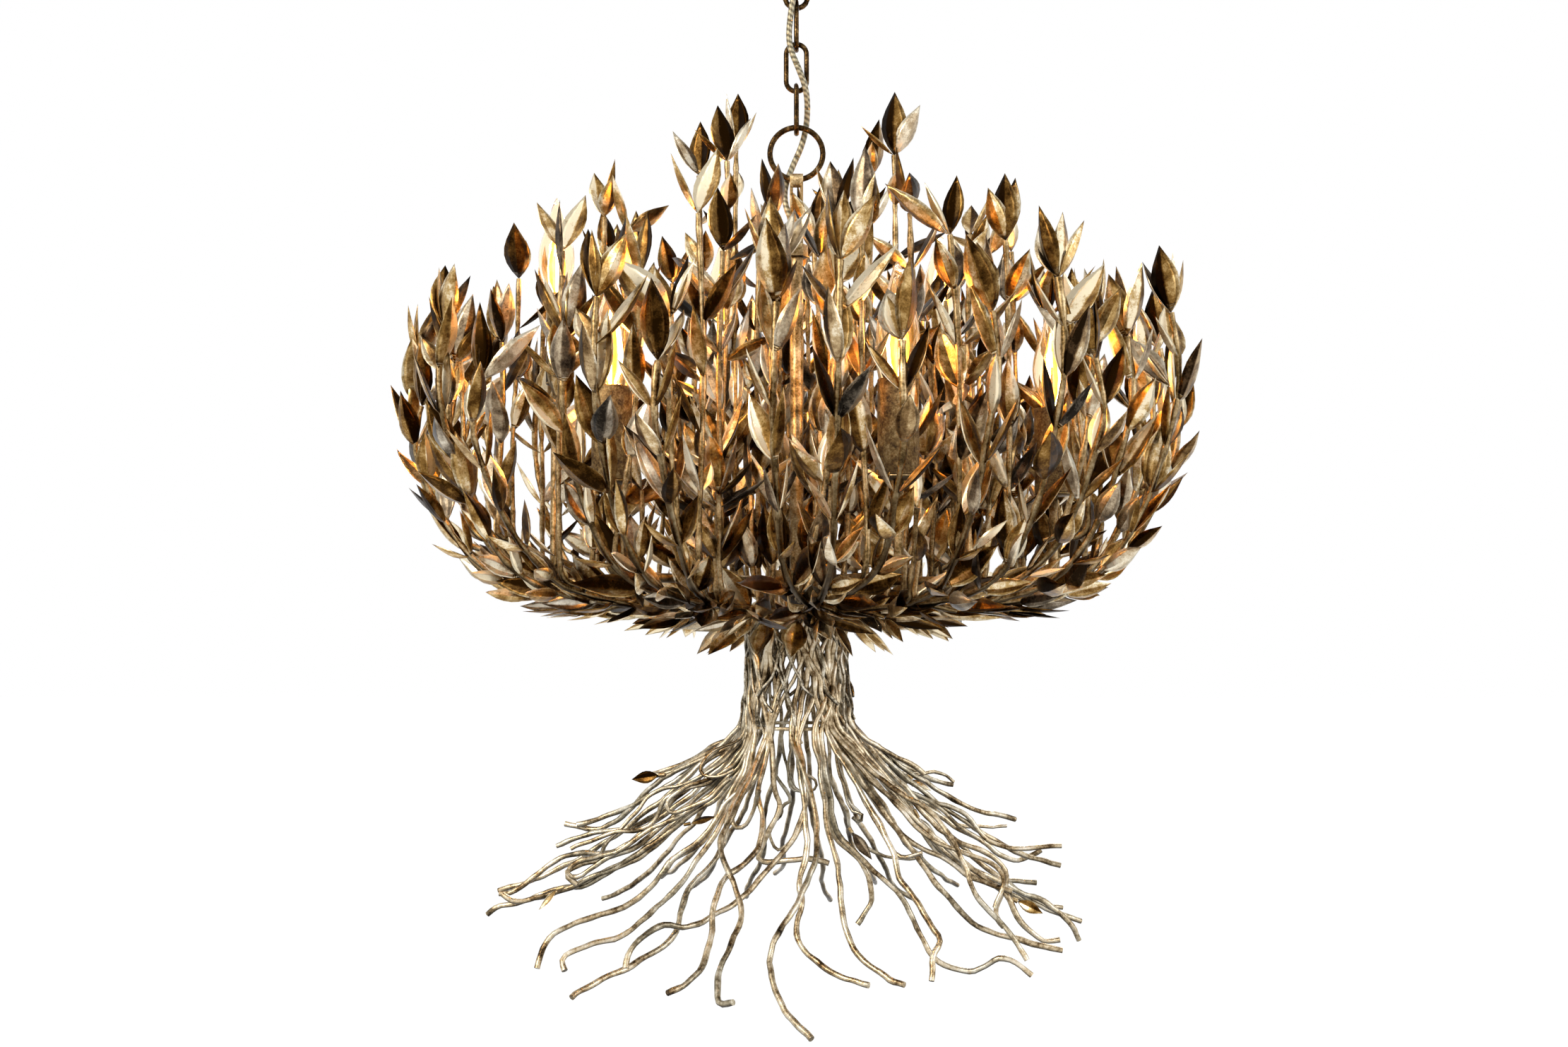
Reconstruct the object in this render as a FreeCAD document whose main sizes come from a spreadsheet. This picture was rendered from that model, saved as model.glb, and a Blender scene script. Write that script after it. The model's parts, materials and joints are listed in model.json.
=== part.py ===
import FreeCAD, Part
import math
import os

import Sketcher

# Tree chandelier: a leafy metal crown on a bundle of root wires, hung on a short chain.
# Lengths are in millimetres and angles in degrees.
# The origin is the middle of the canopy's top face, on the ceiling, and the front looks along -Y.

doc = FreeCAD.newDocument("tree_chandelier")
sheet = doc.addObject("Spreadsheet::Sheet", "Sizes")

SIZES = (
    # clearances and the overrun of cuts
    ("seat_gap", 0.3),
    ("slide_gap", 0.25),
    ("overrun", 2.0),
    # canopy and its fixing
    ("canopy_radius", 62.0),
    ("canopy_height", 30.0),
    ("canopy_flat_radius", 50.0),
    ("canopy_wall", 1.5),
    ("crossbar_length", 104.0),
    ("crossbar_width", 18.0),
    ("crossbar_thickness", 2.5),
    ("screw_spread", 41.0),
    ("box_hole_spread", 30.0),
    ("box_hole_radius", 2.4),
    ("screw_radius", 2.0),
    ("screw_head_radius", 3.8),
    ("screw_head_height", 2.4),
    ("cord_hole_offset", 17.0),
    # canopy loop
    ("nipple_radius", 5.0),
    ("nipple_rise", 12.0),
    ("nut_width", 16.0),
    ("nut_height", 5.0),
    ("loop_collar_width", 17.0),
    ("loop_collar_height", 14.0),
    ("loop_wire", 5.0),
    ("loop_radius", 10.5),
    # chain and hanging ring
    ("chain_wire", 4.8),
    ("link_length", 50.0),
    ("link_width", 24.0),
    ("ring_wire", 5.3),
    ("ring_radius", 24.9),
    # cord
    ("cord_diameter", 5.6),
    # stem
    ("strap_width", 12.5),
    ("strap_thickness", 2.0),
    ("strap_inside", 6.8),
    ("strap_length", 66.0),
    ("strap_slot_width", 6.5),
    ("coupling_width", 19.0),
    ("coupling_height", 12.0),
    ("stem_radius", 6.25),
    ("stem_bore", 4.3),
    ("stem_length", 343.0),
    ("stem_tail", 34.0),
    # hub
    ("hub_radius", 50.0),
    ("hub_thickness", 3.0),
    ("arm_hub_radius", 22.0),
    ("arm_hub_height", 20.0),
    ("arm_level", 28.0),
    # crown
    ("rod_radius", 2.6),
    ("fork_radius", 2.2),
    ("wand_radius", 1.8),
    ("rim_radius", 360.0),
    ("rim_height", 250.0),
    ("peak_height", 486.0),
    ("edge_height", 297.0),
    ("leaf_length", 57.0),
    ("leaf_width", 20.0),
    ("leaf_thickness", 1.2),
    ("leaf_fold", 3.2),
    ("leaf_arch", 2.4),
    ("leaf_splay", 30.0),
    # lamps
    ("lamp_ring_radius", 235.0),
    ("arm_radius", 4.0),
    ("arm_bend", 14.0),
    ("low_lamp_height", 183.0),
    ("high_lamp_height", 304.0),
    ("low_sleeve_radius", 16.5),
    ("low_sleeve_length", 76.0),
    ("high_sleeve_radius", 9.4),
    ("high_sleeve_length", 84.0),
    ("sleeve_wall", 1.0),
    ("seat_thickness", 3.0),
    ("socket_radius", 7.6),
    ("low_socket_length", 74.0),
    ("high_socket_length", 82.0),
    ("bulb_base_radius", 6.0),
    ("bulb_base_length", 18.0),
    ("bulb_neck_radius", 8.2),
    ("bulb_length", 95.0),
    # trunk and roots
    ("root_wire", 5.0),
    ("trunk_radius", 44.0),
    ("trunk_foot_radius", 50.0),
    ("trunk_height", 105.0),
    ("root_reach", 290.0),
    ("root_drop", 305.0),
    ("root_sway", 6.0),
    ("foot_ring_width", 7.0),
    ("foot_ring_thickness", 3.0),
)

for row, (name, value) in enumerate(SIZES, start=1):
    sheet.set("A%d" % row, name)
    sheet.set("B%d" % row, str(value))
    sheet.setAlias("B%d" % row, name)
doc.recompute()


def size(name):
    """The value of one cell of the sheet."""
    return float(sheet.get(name))


def vector(x, y, z):
    return FreeCAD.Vector(x, y, z)


UP = vector(0, 0, 1)

# Heights of the main stations, each hung from the one above it
seat_gap = size("seat_gap")
chain_wire = size("chain_wire")
link_reach = size("link_length") - chain_wire
loop_level = -(
    size("canopy_height")
    + size("loop_collar_height")
    + size("loop_radius")
    + size("loop_wire") / 2
    - seat_gap
)
loop_foot_level = loop_level - size("loop_radius")
link_1_top = loop_foot_level + size("loop_wire") / 2 + chain_wire / 2 + seat_gap
link_2_top = link_1_top - link_reach + chain_wire + seat_gap
link_3_top = link_2_top - link_reach + chain_wire + seat_gap
ring_top = link_3_top - link_reach + chain_wire / 2 + size("ring_wire") / 2 + seat_gap
ring_level = ring_top - size("ring_radius")
ring_foot_level = ring_level - size("ring_radius")
ring_rise = size("ring_radius") - math.sqrt(size("ring_radius") ** 2 - (size("strap_width") / 2) ** 2)
strap_crown_level = ring_foot_level + ring_rise + size("ring_wire") / 2 + seat_gap
coupling_level = strap_crown_level - size("strap_length")
base_level = coupling_level - size("stem_length")
hub_top_level = base_level - size("rod_radius") - seat_gap
hub_foot_level = hub_top_level - size("hub_thickness")

LEVELS = (
    ("loop_level", loop_level),
    ("coupling_level", coupling_level),
    ("base_level", base_level),
    ("hub_foot_level", hub_foot_level),
)


def report_levels():
    for level_name, level in LEVELS:
        print("%s %.2f" % (level_name, level))


parts = []


def keep(node, label):
    """Names a finished sub-part and lists it for export."""
    node.Label = label
    parts.append(node)
    return node


def feature(label, shape, base=vector(0, 0, 0), turn=0.0):
    """A sub-part with a shape made by formula, placed afterwards."""
    node = doc.addObject("Part::Feature", label)
    node.Shape = shape
    node.Placement = FreeCAD.Placement(base, FreeCAD.Rotation(UP, turn))
    return keep(node, label)


# Wires: prisms joined by mitres along a polygon

UPRIGHT_LIMIT = 0.2


def cross_section(centre, along, radius, sides, turn=0.0):
    """A regular polygon square to a direction."""
    along = vector(along.x, along.y, along.z).normalize()
    side = along.cross(UP)
    if side.Length < UPRIGHT_LIMIT:
        side = vector(0, 1, 0).cross(along)
    side.normalize()
    other = along.cross(side)
    corners = []
    for corner in range(sides + 1):
        angle = math.radians(turn) + 2 * math.pi * corner / sides
        corners.append(centre + side * (radius * math.cos(angle)) + other * (radius * math.sin(angle)))
    return Part.makePolygon(corners)


def wire_along(points, radius, sides):
    path = Part.makePolygon(points)
    section = cross_section(points[0], points[1] - points[0], radius, sides, 180.0 / sides)
    return path.makePipeShell([section], True, False, 1)


def half_turn_copy(shape, centre, axis):
    copy = shape.copy()
    copy.rotate(centre, axis, 180)
    return copy


def closed_wire(half_points, radius, sides, centre, axis):
    """A closed wire from one half of its path, the other half turned about an axis."""
    half = wire_along(half_points, radius, sides)
    other = half_turn_copy(half, centre, axis)
    return half.fuse(other).removeSplitter().Solids[0]


def solid_from_corners(corners, faces):
    """A closed solid with flat faces, each face a run of corner numbers."""
    walls = []
    for face in faces:
        loop = [corners[number] for number in face]
        walls.append(Part.Face(Part.makePolygon(loop + [loop[0]])))
    solid = Part.Solid(Part.Shell(walls))
    if solid.Volume < 0:
        solid.reverse()
    return solid


LAMP_SIDES = 10


def lathe(outline, sides=LAMP_SIDES):
    """A closed outline of (radius, height) turned about the upright axis in flat facets.

    The lamps repeat six times, so their round pieces have few facets each.
    """
    corners = []
    rings = []
    for radius, height in outline:
        if radius == 0:
            corners.append(vector(0, 0, height))
            rings.append([len(corners) - 1] * sides)
            continue
        ring = []
        for side in range(sides):
            angle = 2 * math.pi * side / sides
            corners.append(vector(radius * math.cos(angle), radius * math.sin(angle), height))
            ring.append(len(corners) - 1)
        rings.append(ring)
    faces = []
    for ring, following in zip(rings, rings[1:] + rings[:1]):
        for side in range(sides):
            ahead = (side + 1) % sides
            loop = [ring[side], ring[ahead], following[ahead], following[side]]
            face = [number for place, number in enumerate(loop) if number != loop[place - 1]]
            if len(face) > 2:
                faces.append(face)
    return solid_from_corners(corners, faces)


def drill(radius, depth, level, sides=LAMP_SIDES):
    """A faceted tool for a round hole, its flats at the radius."""
    reach = radius / math.cos(math.pi / sides)
    tool = lathe(((0, 0), (reach, 0), (reach, depth), (0, depth)), sides)
    tool.translate(vector(0, 0, level))
    return tool


def one_solid(shape):
    """The single solid that a fusion leaves."""
    solids = shape.Solids
    if len(solids) != 1:
        raise RuntimeError("a fusion left %d solids" % len(solids))
    return solids[0]


def polygon_plate(radius, thickness, level, sides, turn):
    corners = []
    for corner in range(sides + 1):
        angle = math.radians(turn + 360.0 * corner / sides)
        corners.append(vector(radius * math.cos(angle), radius * math.sin(angle), level))
    return Part.Face(Part.makePolygon(corners)).extrude(vector(0, 0, thickness))


# Sketches and turned bodies

def origin_plane(body, role):
    return next(item for item in body.Origin.OriginFeatures if item.Role == role)


def bind_point(sketch, edge, x_text, y_text):
    """Ties the first point of an edge to two expressions, measured from the origin."""
    if x_text == "0":
        sketch.addConstraint(Sketcher.Constraint("PointOnObject", edge, 1, -2))
    else:
        mark = sketch.addConstraint(
            Sketcher.Constraint("DistanceX", -1, 1, edge, 1, sketch.evalExpression(x_text))
        )
        sketch.setExpression("Constraints[%d]" % mark, x_text)
    if y_text == "0":
        sketch.addConstraint(Sketcher.Constraint("PointOnObject", edge, 1, -1))
    else:
        mark = sketch.addConstraint(
            Sketcher.Constraint("DistanceY", -1, 1, edge, 1, sketch.evalExpression(y_text))
        )
        sketch.setExpression("Constraints[%d]" % mark, y_text)


def outline_sketch(body, name, role, outline):
    """A closed sketch of straight edges, each corner tied to a pair of expressions."""
    sketch = body.newObject("Sketcher::SketchObject", name)
    sketch.AttachmentSupport = [(origin_plane(body, role), "")]
    sketch.MapMode = "FlatFace"
    corners = [
        vector(float(sketch.evalExpression(x_text)), float(sketch.evalExpression(y_text)), 0)
        for x_text, y_text in outline
    ]
    count = len(corners)
    for edge in range(count):
        sketch.addGeometry(Part.LineSegment(corners[edge], corners[(edge + 1) % count]), False)
    for edge in range(count):
        sketch.addConstraint(Sketcher.Constraint("Coincident", edge, 2, (edge + 1) % count, 1))
    for edge, (x_text, y_text) in enumerate(outline):
        bind_point(sketch, edge, x_text, y_text)
    return sketch


BORE_SIDES = 12


def bore_outline(radius_text):
    """Corners of a faceted bore whose flats are at the radius."""
    half_angle = 180.0 / BORE_SIDES
    corners = []
    for side in range(BORE_SIDES):
        angle = half_angle * (2 * side + 1)
        reach = "(%s) / cos(%.1f)" % (radius_text, half_angle)
        corners.append(("%s * cos(%.1f)" % (reach, angle), "%s * sin(%.1f)" % (reach, angle)))
    return corners


def hexagon_nut(label, width_name, height_name, bore_text, level):
    """A hexagonal nut with a faceted bore, standing on its level."""
    body = doc.addObject("PartDesign::Body", label)
    corner = "Sizes.%s / sqrt(3)" % width_name
    half = "Sizes.%s / 2" % width_name
    outline = (
        (corner, "0"),
        (corner + " / 2", half),
        ("-" + corner + " / 2", half),
        ("-" + corner, "0"),
        ("-" + corner + " / 2", "-" + half),
        (corner + " / 2", "-" + half),
    )
    sketch = outline_sketch(body, label + "_outline", "XY_Plane", outline)
    pad = body.newObject("PartDesign::Pad", label + "_pad")
    pad.Profile = sketch
    pad.setExpression("Length", "Sizes." + height_name)
    bore = outline_sketch(body, label + "_bore", "XY_Plane", bore_outline(bore_text))
    pocket = body.newObject("PartDesign::Pocket", label + "_pocket")
    pocket.Profile = bore
    pocket.Type = 1
    pocket.Reversed = True
    body.Tip = pocket
    body.Placement.Base = vector(0, 0, level)
    return keep(body, label)


def upright_tube(label, outer_text, bore_text, length_text, level):
    """A round tube that stands on its level."""
    outer = doc.addObject("Part::Cylinder", label + "_outer")
    outer.setExpression("Radius", outer_text)
    outer.setExpression("Height", length_text)
    inner = doc.addObject("Part::Cylinder", label + "_bore")
    inner.setExpression("Radius", bore_text)
    inner.setExpression("Height", length_text + " + 2 * Sizes.overrun")
    inner.setExpression("Placement.Base.z", "-Sizes.overrun")
    cut = doc.addObject("Part::Cut", label)
    cut.Base = outer
    cut.Tool = inner
    cut.Placement.Base = vector(0, 0, level)
    return keep(cut, label)


# Canopy: a spun cup on the ceiling, with two screws, a crossbar and a threaded loop

CANOPY_SIDES = 20


def make_canopy():
    """A spun cup with a nipple bore, two screw holes and a hole for the cord."""
    rim = size("canopy_radius")
    flat = size("canopy_flat_radius")
    wall = size("canopy_wall")
    foot = -size("canopy_height")
    bore = size("nipple_radius") + 2 * size("slide_gap")
    inside = foot + wall
    outline = ((rim, 0), (flat, foot), (bore, foot), (bore, inside), (flat - wall, inside), (rim - wall, 0))
    cup = lathe(outline, CANOPY_SIDES)
    screw_hole = size("screw_radius") + size("slide_gap")
    cord_hole = size("cord_diameter") / 2 + size("slide_gap")
    depth = wall + 2 * size("overrun")
    tools = []
    for x, y, radius in (
        (size("screw_spread"), 0, screw_hole),
        (-size("screw_spread"), 0, screw_hole),
        (0, -size("cord_hole_offset"), cord_hole),
    ):
        tool = drill(radius, depth, foot - size("overrun"))
        tool.translate(vector(x, y, 0))
        tools.append(tool)
    feature("canopy", one_solid(cup.removeSplitter().cut(tools)))


SCREW_SIDES = 8


def make_crossbar():
    """A bar with two tapped holes for the canopy's screws and two round ones for the ceiling box's."""
    bar = doc.addObject("Part::Box", "crossbar_bar")
    bar.setExpression("Length", "Sizes.crossbar_length")
    bar.setExpression("Width", "Sizes.crossbar_width")
    bar.setExpression("Height", "Sizes.crossbar_thickness")
    bar.setExpression("Placement.Base.x", "-Sizes.crossbar_length / 2")
    bar.setExpression("Placement.Base.y", "-Sizes.crossbar_width / 2")
    bar.setExpression("Placement.Base.z", "-Sizes.crossbar_thickness")
    holes = []
    for side in (-1, 1):
        screw_hole = doc.addObject("Part::Prism", "crossbar_screw_hole_%d" % (len(holes) + 1))
        screw_hole.Polygon = SCREW_SIDES
        across = "(Sizes.screw_radius + Sizes.slide_gap) / cos(180 / %d)" % SCREW_SIDES
        screw_hole.setExpression("Circumradius", across)
        screw_hole.setExpression("Placement.Base.x", "%d * Sizes.screw_spread" % side)
        box_hole = doc.addObject("Part::Cylinder", "crossbar_box_hole_%d" % (len(holes) + 2))
        box_hole.setExpression("Radius", "Sizes.box_hole_radius")
        box_hole.setExpression("Placement.Base.x", "%d * Sizes.box_hole_spread" % side)
        holes.extend((screw_hole, box_hole))
    for hole in holes:
        hole.setExpression("Height", "Sizes.crossbar_thickness + 2 * Sizes.overrun")
        hole.setExpression("Placement.Base.z", "-Sizes.crossbar_thickness - Sizes.overrun")
    tools = doc.addObject("Part::MultiFuse", "crossbar_holes")
    tools.Shapes = holes
    cut = doc.addObject("Part::Cut", "canopy_crossbar")
    cut.Base = bar
    cut.Tool = tools
    return keep(cut, "canopy_crossbar")


def make_canopy_screws():
    """Two screws: shanks through the canopy into the crossbar, heads below the canopy."""
    head_top = -size("canopy_height") - seat_gap
    head_foot = head_top - size("screw_head_height")
    shank = size("screw_radius")
    head = size("screw_head_radius")
    outline = ((0, head_foot), (head, head_foot), (head, head_top), (shank, head_top), (shank, 0), (0, 0))
    screw = lathe(outline, SCREW_SIDES)
    screws = []
    for side in (-1, 1):
        piece = screw.copy()
        piece.translate(vector(side * size("screw_spread"), 0, 0))
        screws.append(piece)
    feature("canopy_screws", Part.makeCompound(screws))


def arc_points(centre, radius, first, last, steps, across, upward):
    """Points on an arc in the plane of two directions, angles from the first direction."""
    points = []
    for step in range(steps + 1):
        angle = math.radians(first + (last - first) * step / steps)
        points.append(centre + across * (radius * math.cos(angle)) + upward * (radius * math.sin(angle)))
    return points


LOOP_STEPS = 8
RING_STEPS = 12


def round_wire_ring(level, radius, wire, sides, steps):
    """A ring of wire in the XZ plane, made as two halves that meet at its sides."""
    centre = vector(0, 0, level)
    half_step = 90.0 / steps
    arc = arc_points(centre, radius / math.cos(math.radians(half_step)), half_step, 180 - half_step,
                     steps - 1, vector(1, 0, 0), UP)
    points = [vector(radius, 0, level)] + arc + [vector(-radius, 0, level)]
    return closed_wire(points, wire / 2, sides, centre, vector(0, 1, 0))


def make_canopy_loop():
    """A wire loop on a collar whose nipple goes up through the canopy."""
    wire = size("loop_wire")
    ring = round_wire_ring(loop_level, size("loop_radius"), wire, 8, LOOP_STEPS)
    collar_top = -size("canopy_height") - seat_gap
    collar = polygon_plate(size("loop_collar_width") / math.sqrt(3), -size("loop_collar_height"),
                           collar_top, 6, 0.0)
    nipple = lathe(((0, 0), (size("nipple_radius"), 0), (size("nipple_radius"), size("nipple_rise")),
                    (0, size("nipple_rise"))))
    nipple.translate(vector(0, 0, collar_top))
    return feature("canopy_loop", one_solid(collar.fuse([nipple, ring])))


# Chain: three links and the hanging ring, each turned a quarter from the last

def link_shape(top_level, across):
    """A chain link whose top wire centre is at a level, with its width along a direction."""
    reach = size("link_width") / 2 - chain_wire / 2
    middle = vector(0, 0, top_level - link_reach / 2)
    bow_centre = vector(0, 0, top_level - reach)
    half_step = 90.0 / LOOP_STEPS
    bow = arc_points(bow_centre, reach / math.cos(math.radians(half_step)), half_step,
                     180 - half_step, LOOP_STEPS - 1, across, UP)
    points = [middle + across * reach] + bow + [middle - across * reach]
    return closed_wire(points, chain_wire / 2, 8, middle, across.cross(UP))


def make_chain():
    feature("chain_link_1", link_shape(link_1_top, vector(0, 1, 0)))
    feature("chain_link_2", link_shape(link_2_top, vector(1, 0, 0)))
    feature("chain_link_3", link_shape(link_3_top, vector(0, 1, 0)))
    feature(
        "hanging_ring",
        round_wire_ring(ring_level, size("ring_radius"), size("ring_wire"), 8, RING_STEPS),
    )


# Cord: straight runs joined by tangent arcs, from the canopy to the stem's coupling

# x, y and drop below the canopy in cord diameters: in front of link 2, beside link 3, behind the ring
cord_route_shares = (
    (-0.18, -3.04, 4.29),
    (-1.07, -2.32, 8.93),
    (-1.34, -1.70, 13.57),
    (0.27, -1.70, 17.32),
    (1.79, -1.07, 21.25),
    (1.88, 0.80, 25.54),
    (1.07, 1.70, 29.46),
    (-0.71, 1.70, 33.39),
    (-2.05, 1.07, 37.14),
    (-1.88, 0.18, 40.71),
    (-0.27, 0.0, 43.93),
)
arc_share = 0.45


def cord_points():
    """The cord's route from the canopy's hole to the coupling on the stem."""
    diameter = size("cord_diameter")
    top = -size("canopy_height")
    points = [vector(0, -size("cord_hole_offset"), top)]
    for x, y, drop in cord_route_shares:
        points.append(vector(x, y, 0) * diameter + vector(0, 0, top - drop * diameter))
    points.append(vector(0, 0, coupling_level))
    return points


CORD_SIDES = 6


def cord_shape(points, diameter):
    edges = []
    start = points[0]
    length = 0.0
    for before, corner, after in zip(points, points[1:], points[2:]):
        into = corner - before
        out = after - corner
        turn = into.getAngle(out)
        shorter = min(into.Length, out.Length)
        tangent = arc_share * shorter
        radius = tangent / math.tan(turn / 2)
        print("cord radius %.1f" % radius)
        enter = corner - into.normalize() * tangent
        leave = corner + out.normalize() * tangent
        toward = (enter + leave) * 0.5 - corner
        centre = corner + toward.normalize() * math.hypot(radius, tangent)
        halfway = centre - toward * radius
        edges.append(Part.LineSegment(start, enter).toShape())
        edges.append(Part.Arc(enter, halfway, leave).toShape())
        length += (enter - start).Length + radius * turn
        start = leave
    edges.append(Part.LineSegment(start, points[-1]).toShape())
    length += (points[-1] - start).Length
    section = cross_section(points[0], points[1] - points[0], diameter / 2, CORD_SIDES)
    cord = Part.Wire(edges).makePipeShell([section], True, False)
    section_area = CORD_SIDES / 2 * math.sin(2 * math.pi / CORD_SIDES) * (diameter / 2) ** 2
    print("cord length %.1f, volume share %.4f" % (length, cord.Volume / (section_area * length)))
    return cord


def make_cord():
    feature("power_cord", cord_shape(cord_points(), size("cord_diameter")))


# Stem: a slotted strap over the ring, a coupling and a tube down to the hub

def make_strap():
    """A strip bent over the ring's wire, with a long slot in each leg."""
    inside = size("strap_inside") / 2
    outside = inside + size("strap_thickness")
    width = size("strap_width")
    overrun = size("overrun")
    bow_level = strap_crown_level - inside
    leg = bow_level - coupling_level
    corner = vector(-width / 2, -outside, coupling_level)
    blank = Part.makeBox(width, 2 * outside, leg, corner)
    bow = Part.makeCylinder(outside, width, vector(-width / 2, 0, bow_level), vector(1, 0, 0))
    inner_corner = vector(-width / 2 - overrun, -inside, coupling_level - overrun)
    hollow = Part.makeBox(width + 2 * overrun, 2 * inside, leg + overrun, inner_corner)
    inner_end = vector(-width / 2 - overrun, 0, bow_level)
    hollow_bow = Part.makeCylinder(inside, width + 2 * overrun, inner_end, vector(1, 0, 0))
    slot_width = size("strap_slot_width")
    slot_corner = vector(-slot_width / 2, -outside - overrun, coupling_level + slot_width)
    slot = Part.makeBox(slot_width, 2 * outside + 2 * overrun, leg - 2 * slot_width, slot_corner)
    strap = blank.fuse(bow).cut([hollow, hollow_bow, slot]).removeSplitter()
    feature("stem_strap", one_solid(strap))


def make_stem():
    make_strap()
    hexagon_nut("stem_coupling", "coupling_width", "coupling_height",
                "Sizes.cord_diameter / 2 + Sizes.slide_gap",
                coupling_level - size("coupling_height"))
    upright_tube(
        "stem_tube",
        "Sizes.stem_radius",
        "Sizes.stem_bore",
        "Sizes.stem_length - Sizes.coupling_height + Sizes.stem_tail",
        base_level - size("stem_tail"),
    )


# Hub: the plate that carries the branches, its nut, and the small drum that carries the lamp arms

BRANCH_COUNT = 12
LAMP_COUNT = 6
FIRST_LAMP_ANGLE = -130.0
BRANCH_ANGLE_OFFSET = FIRST_LAMP_ANGLE + 180.0 / BRANCH_COUNT


def make_hub():
    bore_radius = size("stem_radius") + size("slide_gap")
    plate = polygon_plate(size("hub_radius"), size("hub_thickness"), hub_foot_level,
                          BRANCH_COUNT, BRANCH_ANGLE_OFFSET)
    bore = drill(bore_radius, size("hub_thickness") + 2 * size("overrun"), hub_foot_level - size("overrun"))
    feature("hub_plate", plate.cut(bore))
    hexagon_nut("hub_nut", "coupling_width", "nut_height", "Sizes.stem_radius + Sizes.slide_gap",
                hub_foot_level - size("nut_height") - seat_gap)
    drum_foot = base_level + size("arm_level") - size("arm_hub_height") / 2
    drum_corner = size("arm_hub_radius") / math.cos(math.pi / LAMP_COUNT)
    drum = polygon_plate(drum_corner, size("arm_hub_height"), drum_foot, LAMP_COUNT,
                         FIRST_LAMP_ANGLE + 180.0 / LAMP_COUNT)
    drum_bore = drill(bore_radius, size("arm_hub_height") + 2 * size("overrun"), drum_foot - size("overrun"))
    feature("arm_hub", drum.cut(drum_bore))


# Leaves: folded sheet, a kite between a pointed foot and a pointed tip

leaf_widest_share = 0.42
end_leaf_splay_share = 0.25


def leaf_shape():
    """One leaf lying along +X from the origin, its edges raised along the fold."""
    half_width = size("leaf_width") / 2
    half_sheet = size("leaf_thickness") / 2
    arch = size("leaf_arch")
    edge = arch + size("leaf_fold")
    widest = size("leaf_length") * leaf_widest_share
    foot, tip = 0, 5
    corners = [
        vector(0, 0, 0),
        vector(widest, -half_width, edge),
        vector(widest, 0, arch + half_sheet),
        vector(widest, half_width, edge),
        vector(widest, 0, arch - half_sheet),
        vector(size("leaf_length"), 0, 0),
    ]
    faces = []
    for side in range(1, tip):
        ahead = side % 4 + 1
        faces.append((foot, ahead, side))
        faces.append((side, ahead, tip))
    return solid_from_corners(corners, faces)


def leaf_on_stem(leaf, point, along, away, splay):
    """A copy of a leaf that leaves a stem at a point, tilted from it toward a direction."""
    tilt = math.radians(splay)
    along = vector(along.x, along.y, along.z).normalize()
    away = (away - along * away.dot(along)).normalize()
    leaf_axis = along * math.cos(tilt) + away * math.sin(tilt)
    leaf_face = along * math.sin(tilt) - away * math.cos(tilt)
    leaf_side = leaf_face.cross(leaf_axis)
    turned = FreeCAD.Rotation(leaf_axis, leaf_side, leaf_face, "XZY")
    copy = leaf.copy()
    copy.Placement = FreeCAD.Placement(point, turned)
    return copy


# Branches: a rod that runs out from the hub and turns up at the rim, a fork on each side of it,
# and upright wands that stand on all three

ROD_SIDES = 6
FORK_SIDES = 4
WAND_SIDES = 3
TURN_UP = 3
rod_reach_shares = (0.12, 0.41, 0.68, 0.81, 0.90, 0.955, 0.99, 0.965)
rod_rise_shares = (0.0, 0.015, 0.046, 0.145, 0.344, 0.59, 0.80, 1.0)
rod_leaf_shares = (0.35, 0.7)
wand_leaf_shares = (0.30, 0.66)
end_leaf_reach_share = 0.8
crown_slope_power = 1.6
golden_turn = 137.5
side_lean = 1.5

# forks: turn from the rod in degrees, share of its reach and share of its rise
fork_shares = {"left": (8.0, 0.98, 0.74), "right": (-8.0, 0.93, 0.88)}

# wands: the stem each stands on, its distance from the middle as a share, its first leaf's direction
even_wands = (
    ("rod", 0.16, 60.0),
    ("rod", 0.44, 150.0),
    ("left", 0.62, 0.0),
    ("right", 0.74, 10.0),
    ("left", 0.84, 150.0),
)
odd_wands = (
    ("rod", 0.25, 60.0),
    ("rod", 0.50, 150.0),
    ("right", 0.58, 0.0),
    ("left", 0.72, -10.0),
    ("right", 0.80, -20.0),
)
# how far each wand rises toward the crown's outline, one row for each branch from the front left round
wand_height_shares = (
    (0.84, 0.80, 0.92, 0.84, 0.78),
    (0.80, 0.78, 0.88, 0.92, 0.86),
    (0.82, 0.88, 0.80, 0.92, 0.74),
    (1.00, 0.86, 0.90, 0.74, 0.80),
    (0.86, 0.92, 0.98, 0.82, 0.98),
    (1.00, 0.84, 0.98, 0.90, 1.00),
    (0.82, 1.00, 0.88, 0.98, 0.92),
    (0.88, 0.86, 0.98, 0.90, 1.00),
    (0.85, 0.90, 0.98, 0.86, 0.98),
    (1.00, 0.88, 0.98, 0.92, 0.86),
    (1.00, 0.84, 0.94, 0.98, 0.84),
    (0.98, 0.88, 0.96, 0.86, 0.78),
)


def flat_reach(radius, sides):
    """Distance from a wire's middle to its flats."""
    return radius * math.cos(math.pi / sides)


def stem_points(turn, reach_share, rise_share):
    """The rod's line swung to one side, with a share of its rise beyond the point where it turns up."""
    points = []
    for place, (reach, rise) in enumerate(zip(rod_reach_shares, rod_rise_shares)):
        angle = math.radians(turn * min(place, TURN_UP) / TURN_UP)
        radius = size("rim_radius") * reach * reach_share
        level_rise = min(rise, rod_rise_shares[TURN_UP])
        height = size("rim_height") * (level_rise + (rise - level_rise) * rise_share)
        points.append(vector(radius * math.cos(angle), radius * math.sin(angle), height))
    return points


def rod_points():
    return stem_points(0.0, 1.0, 1.0)


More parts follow.
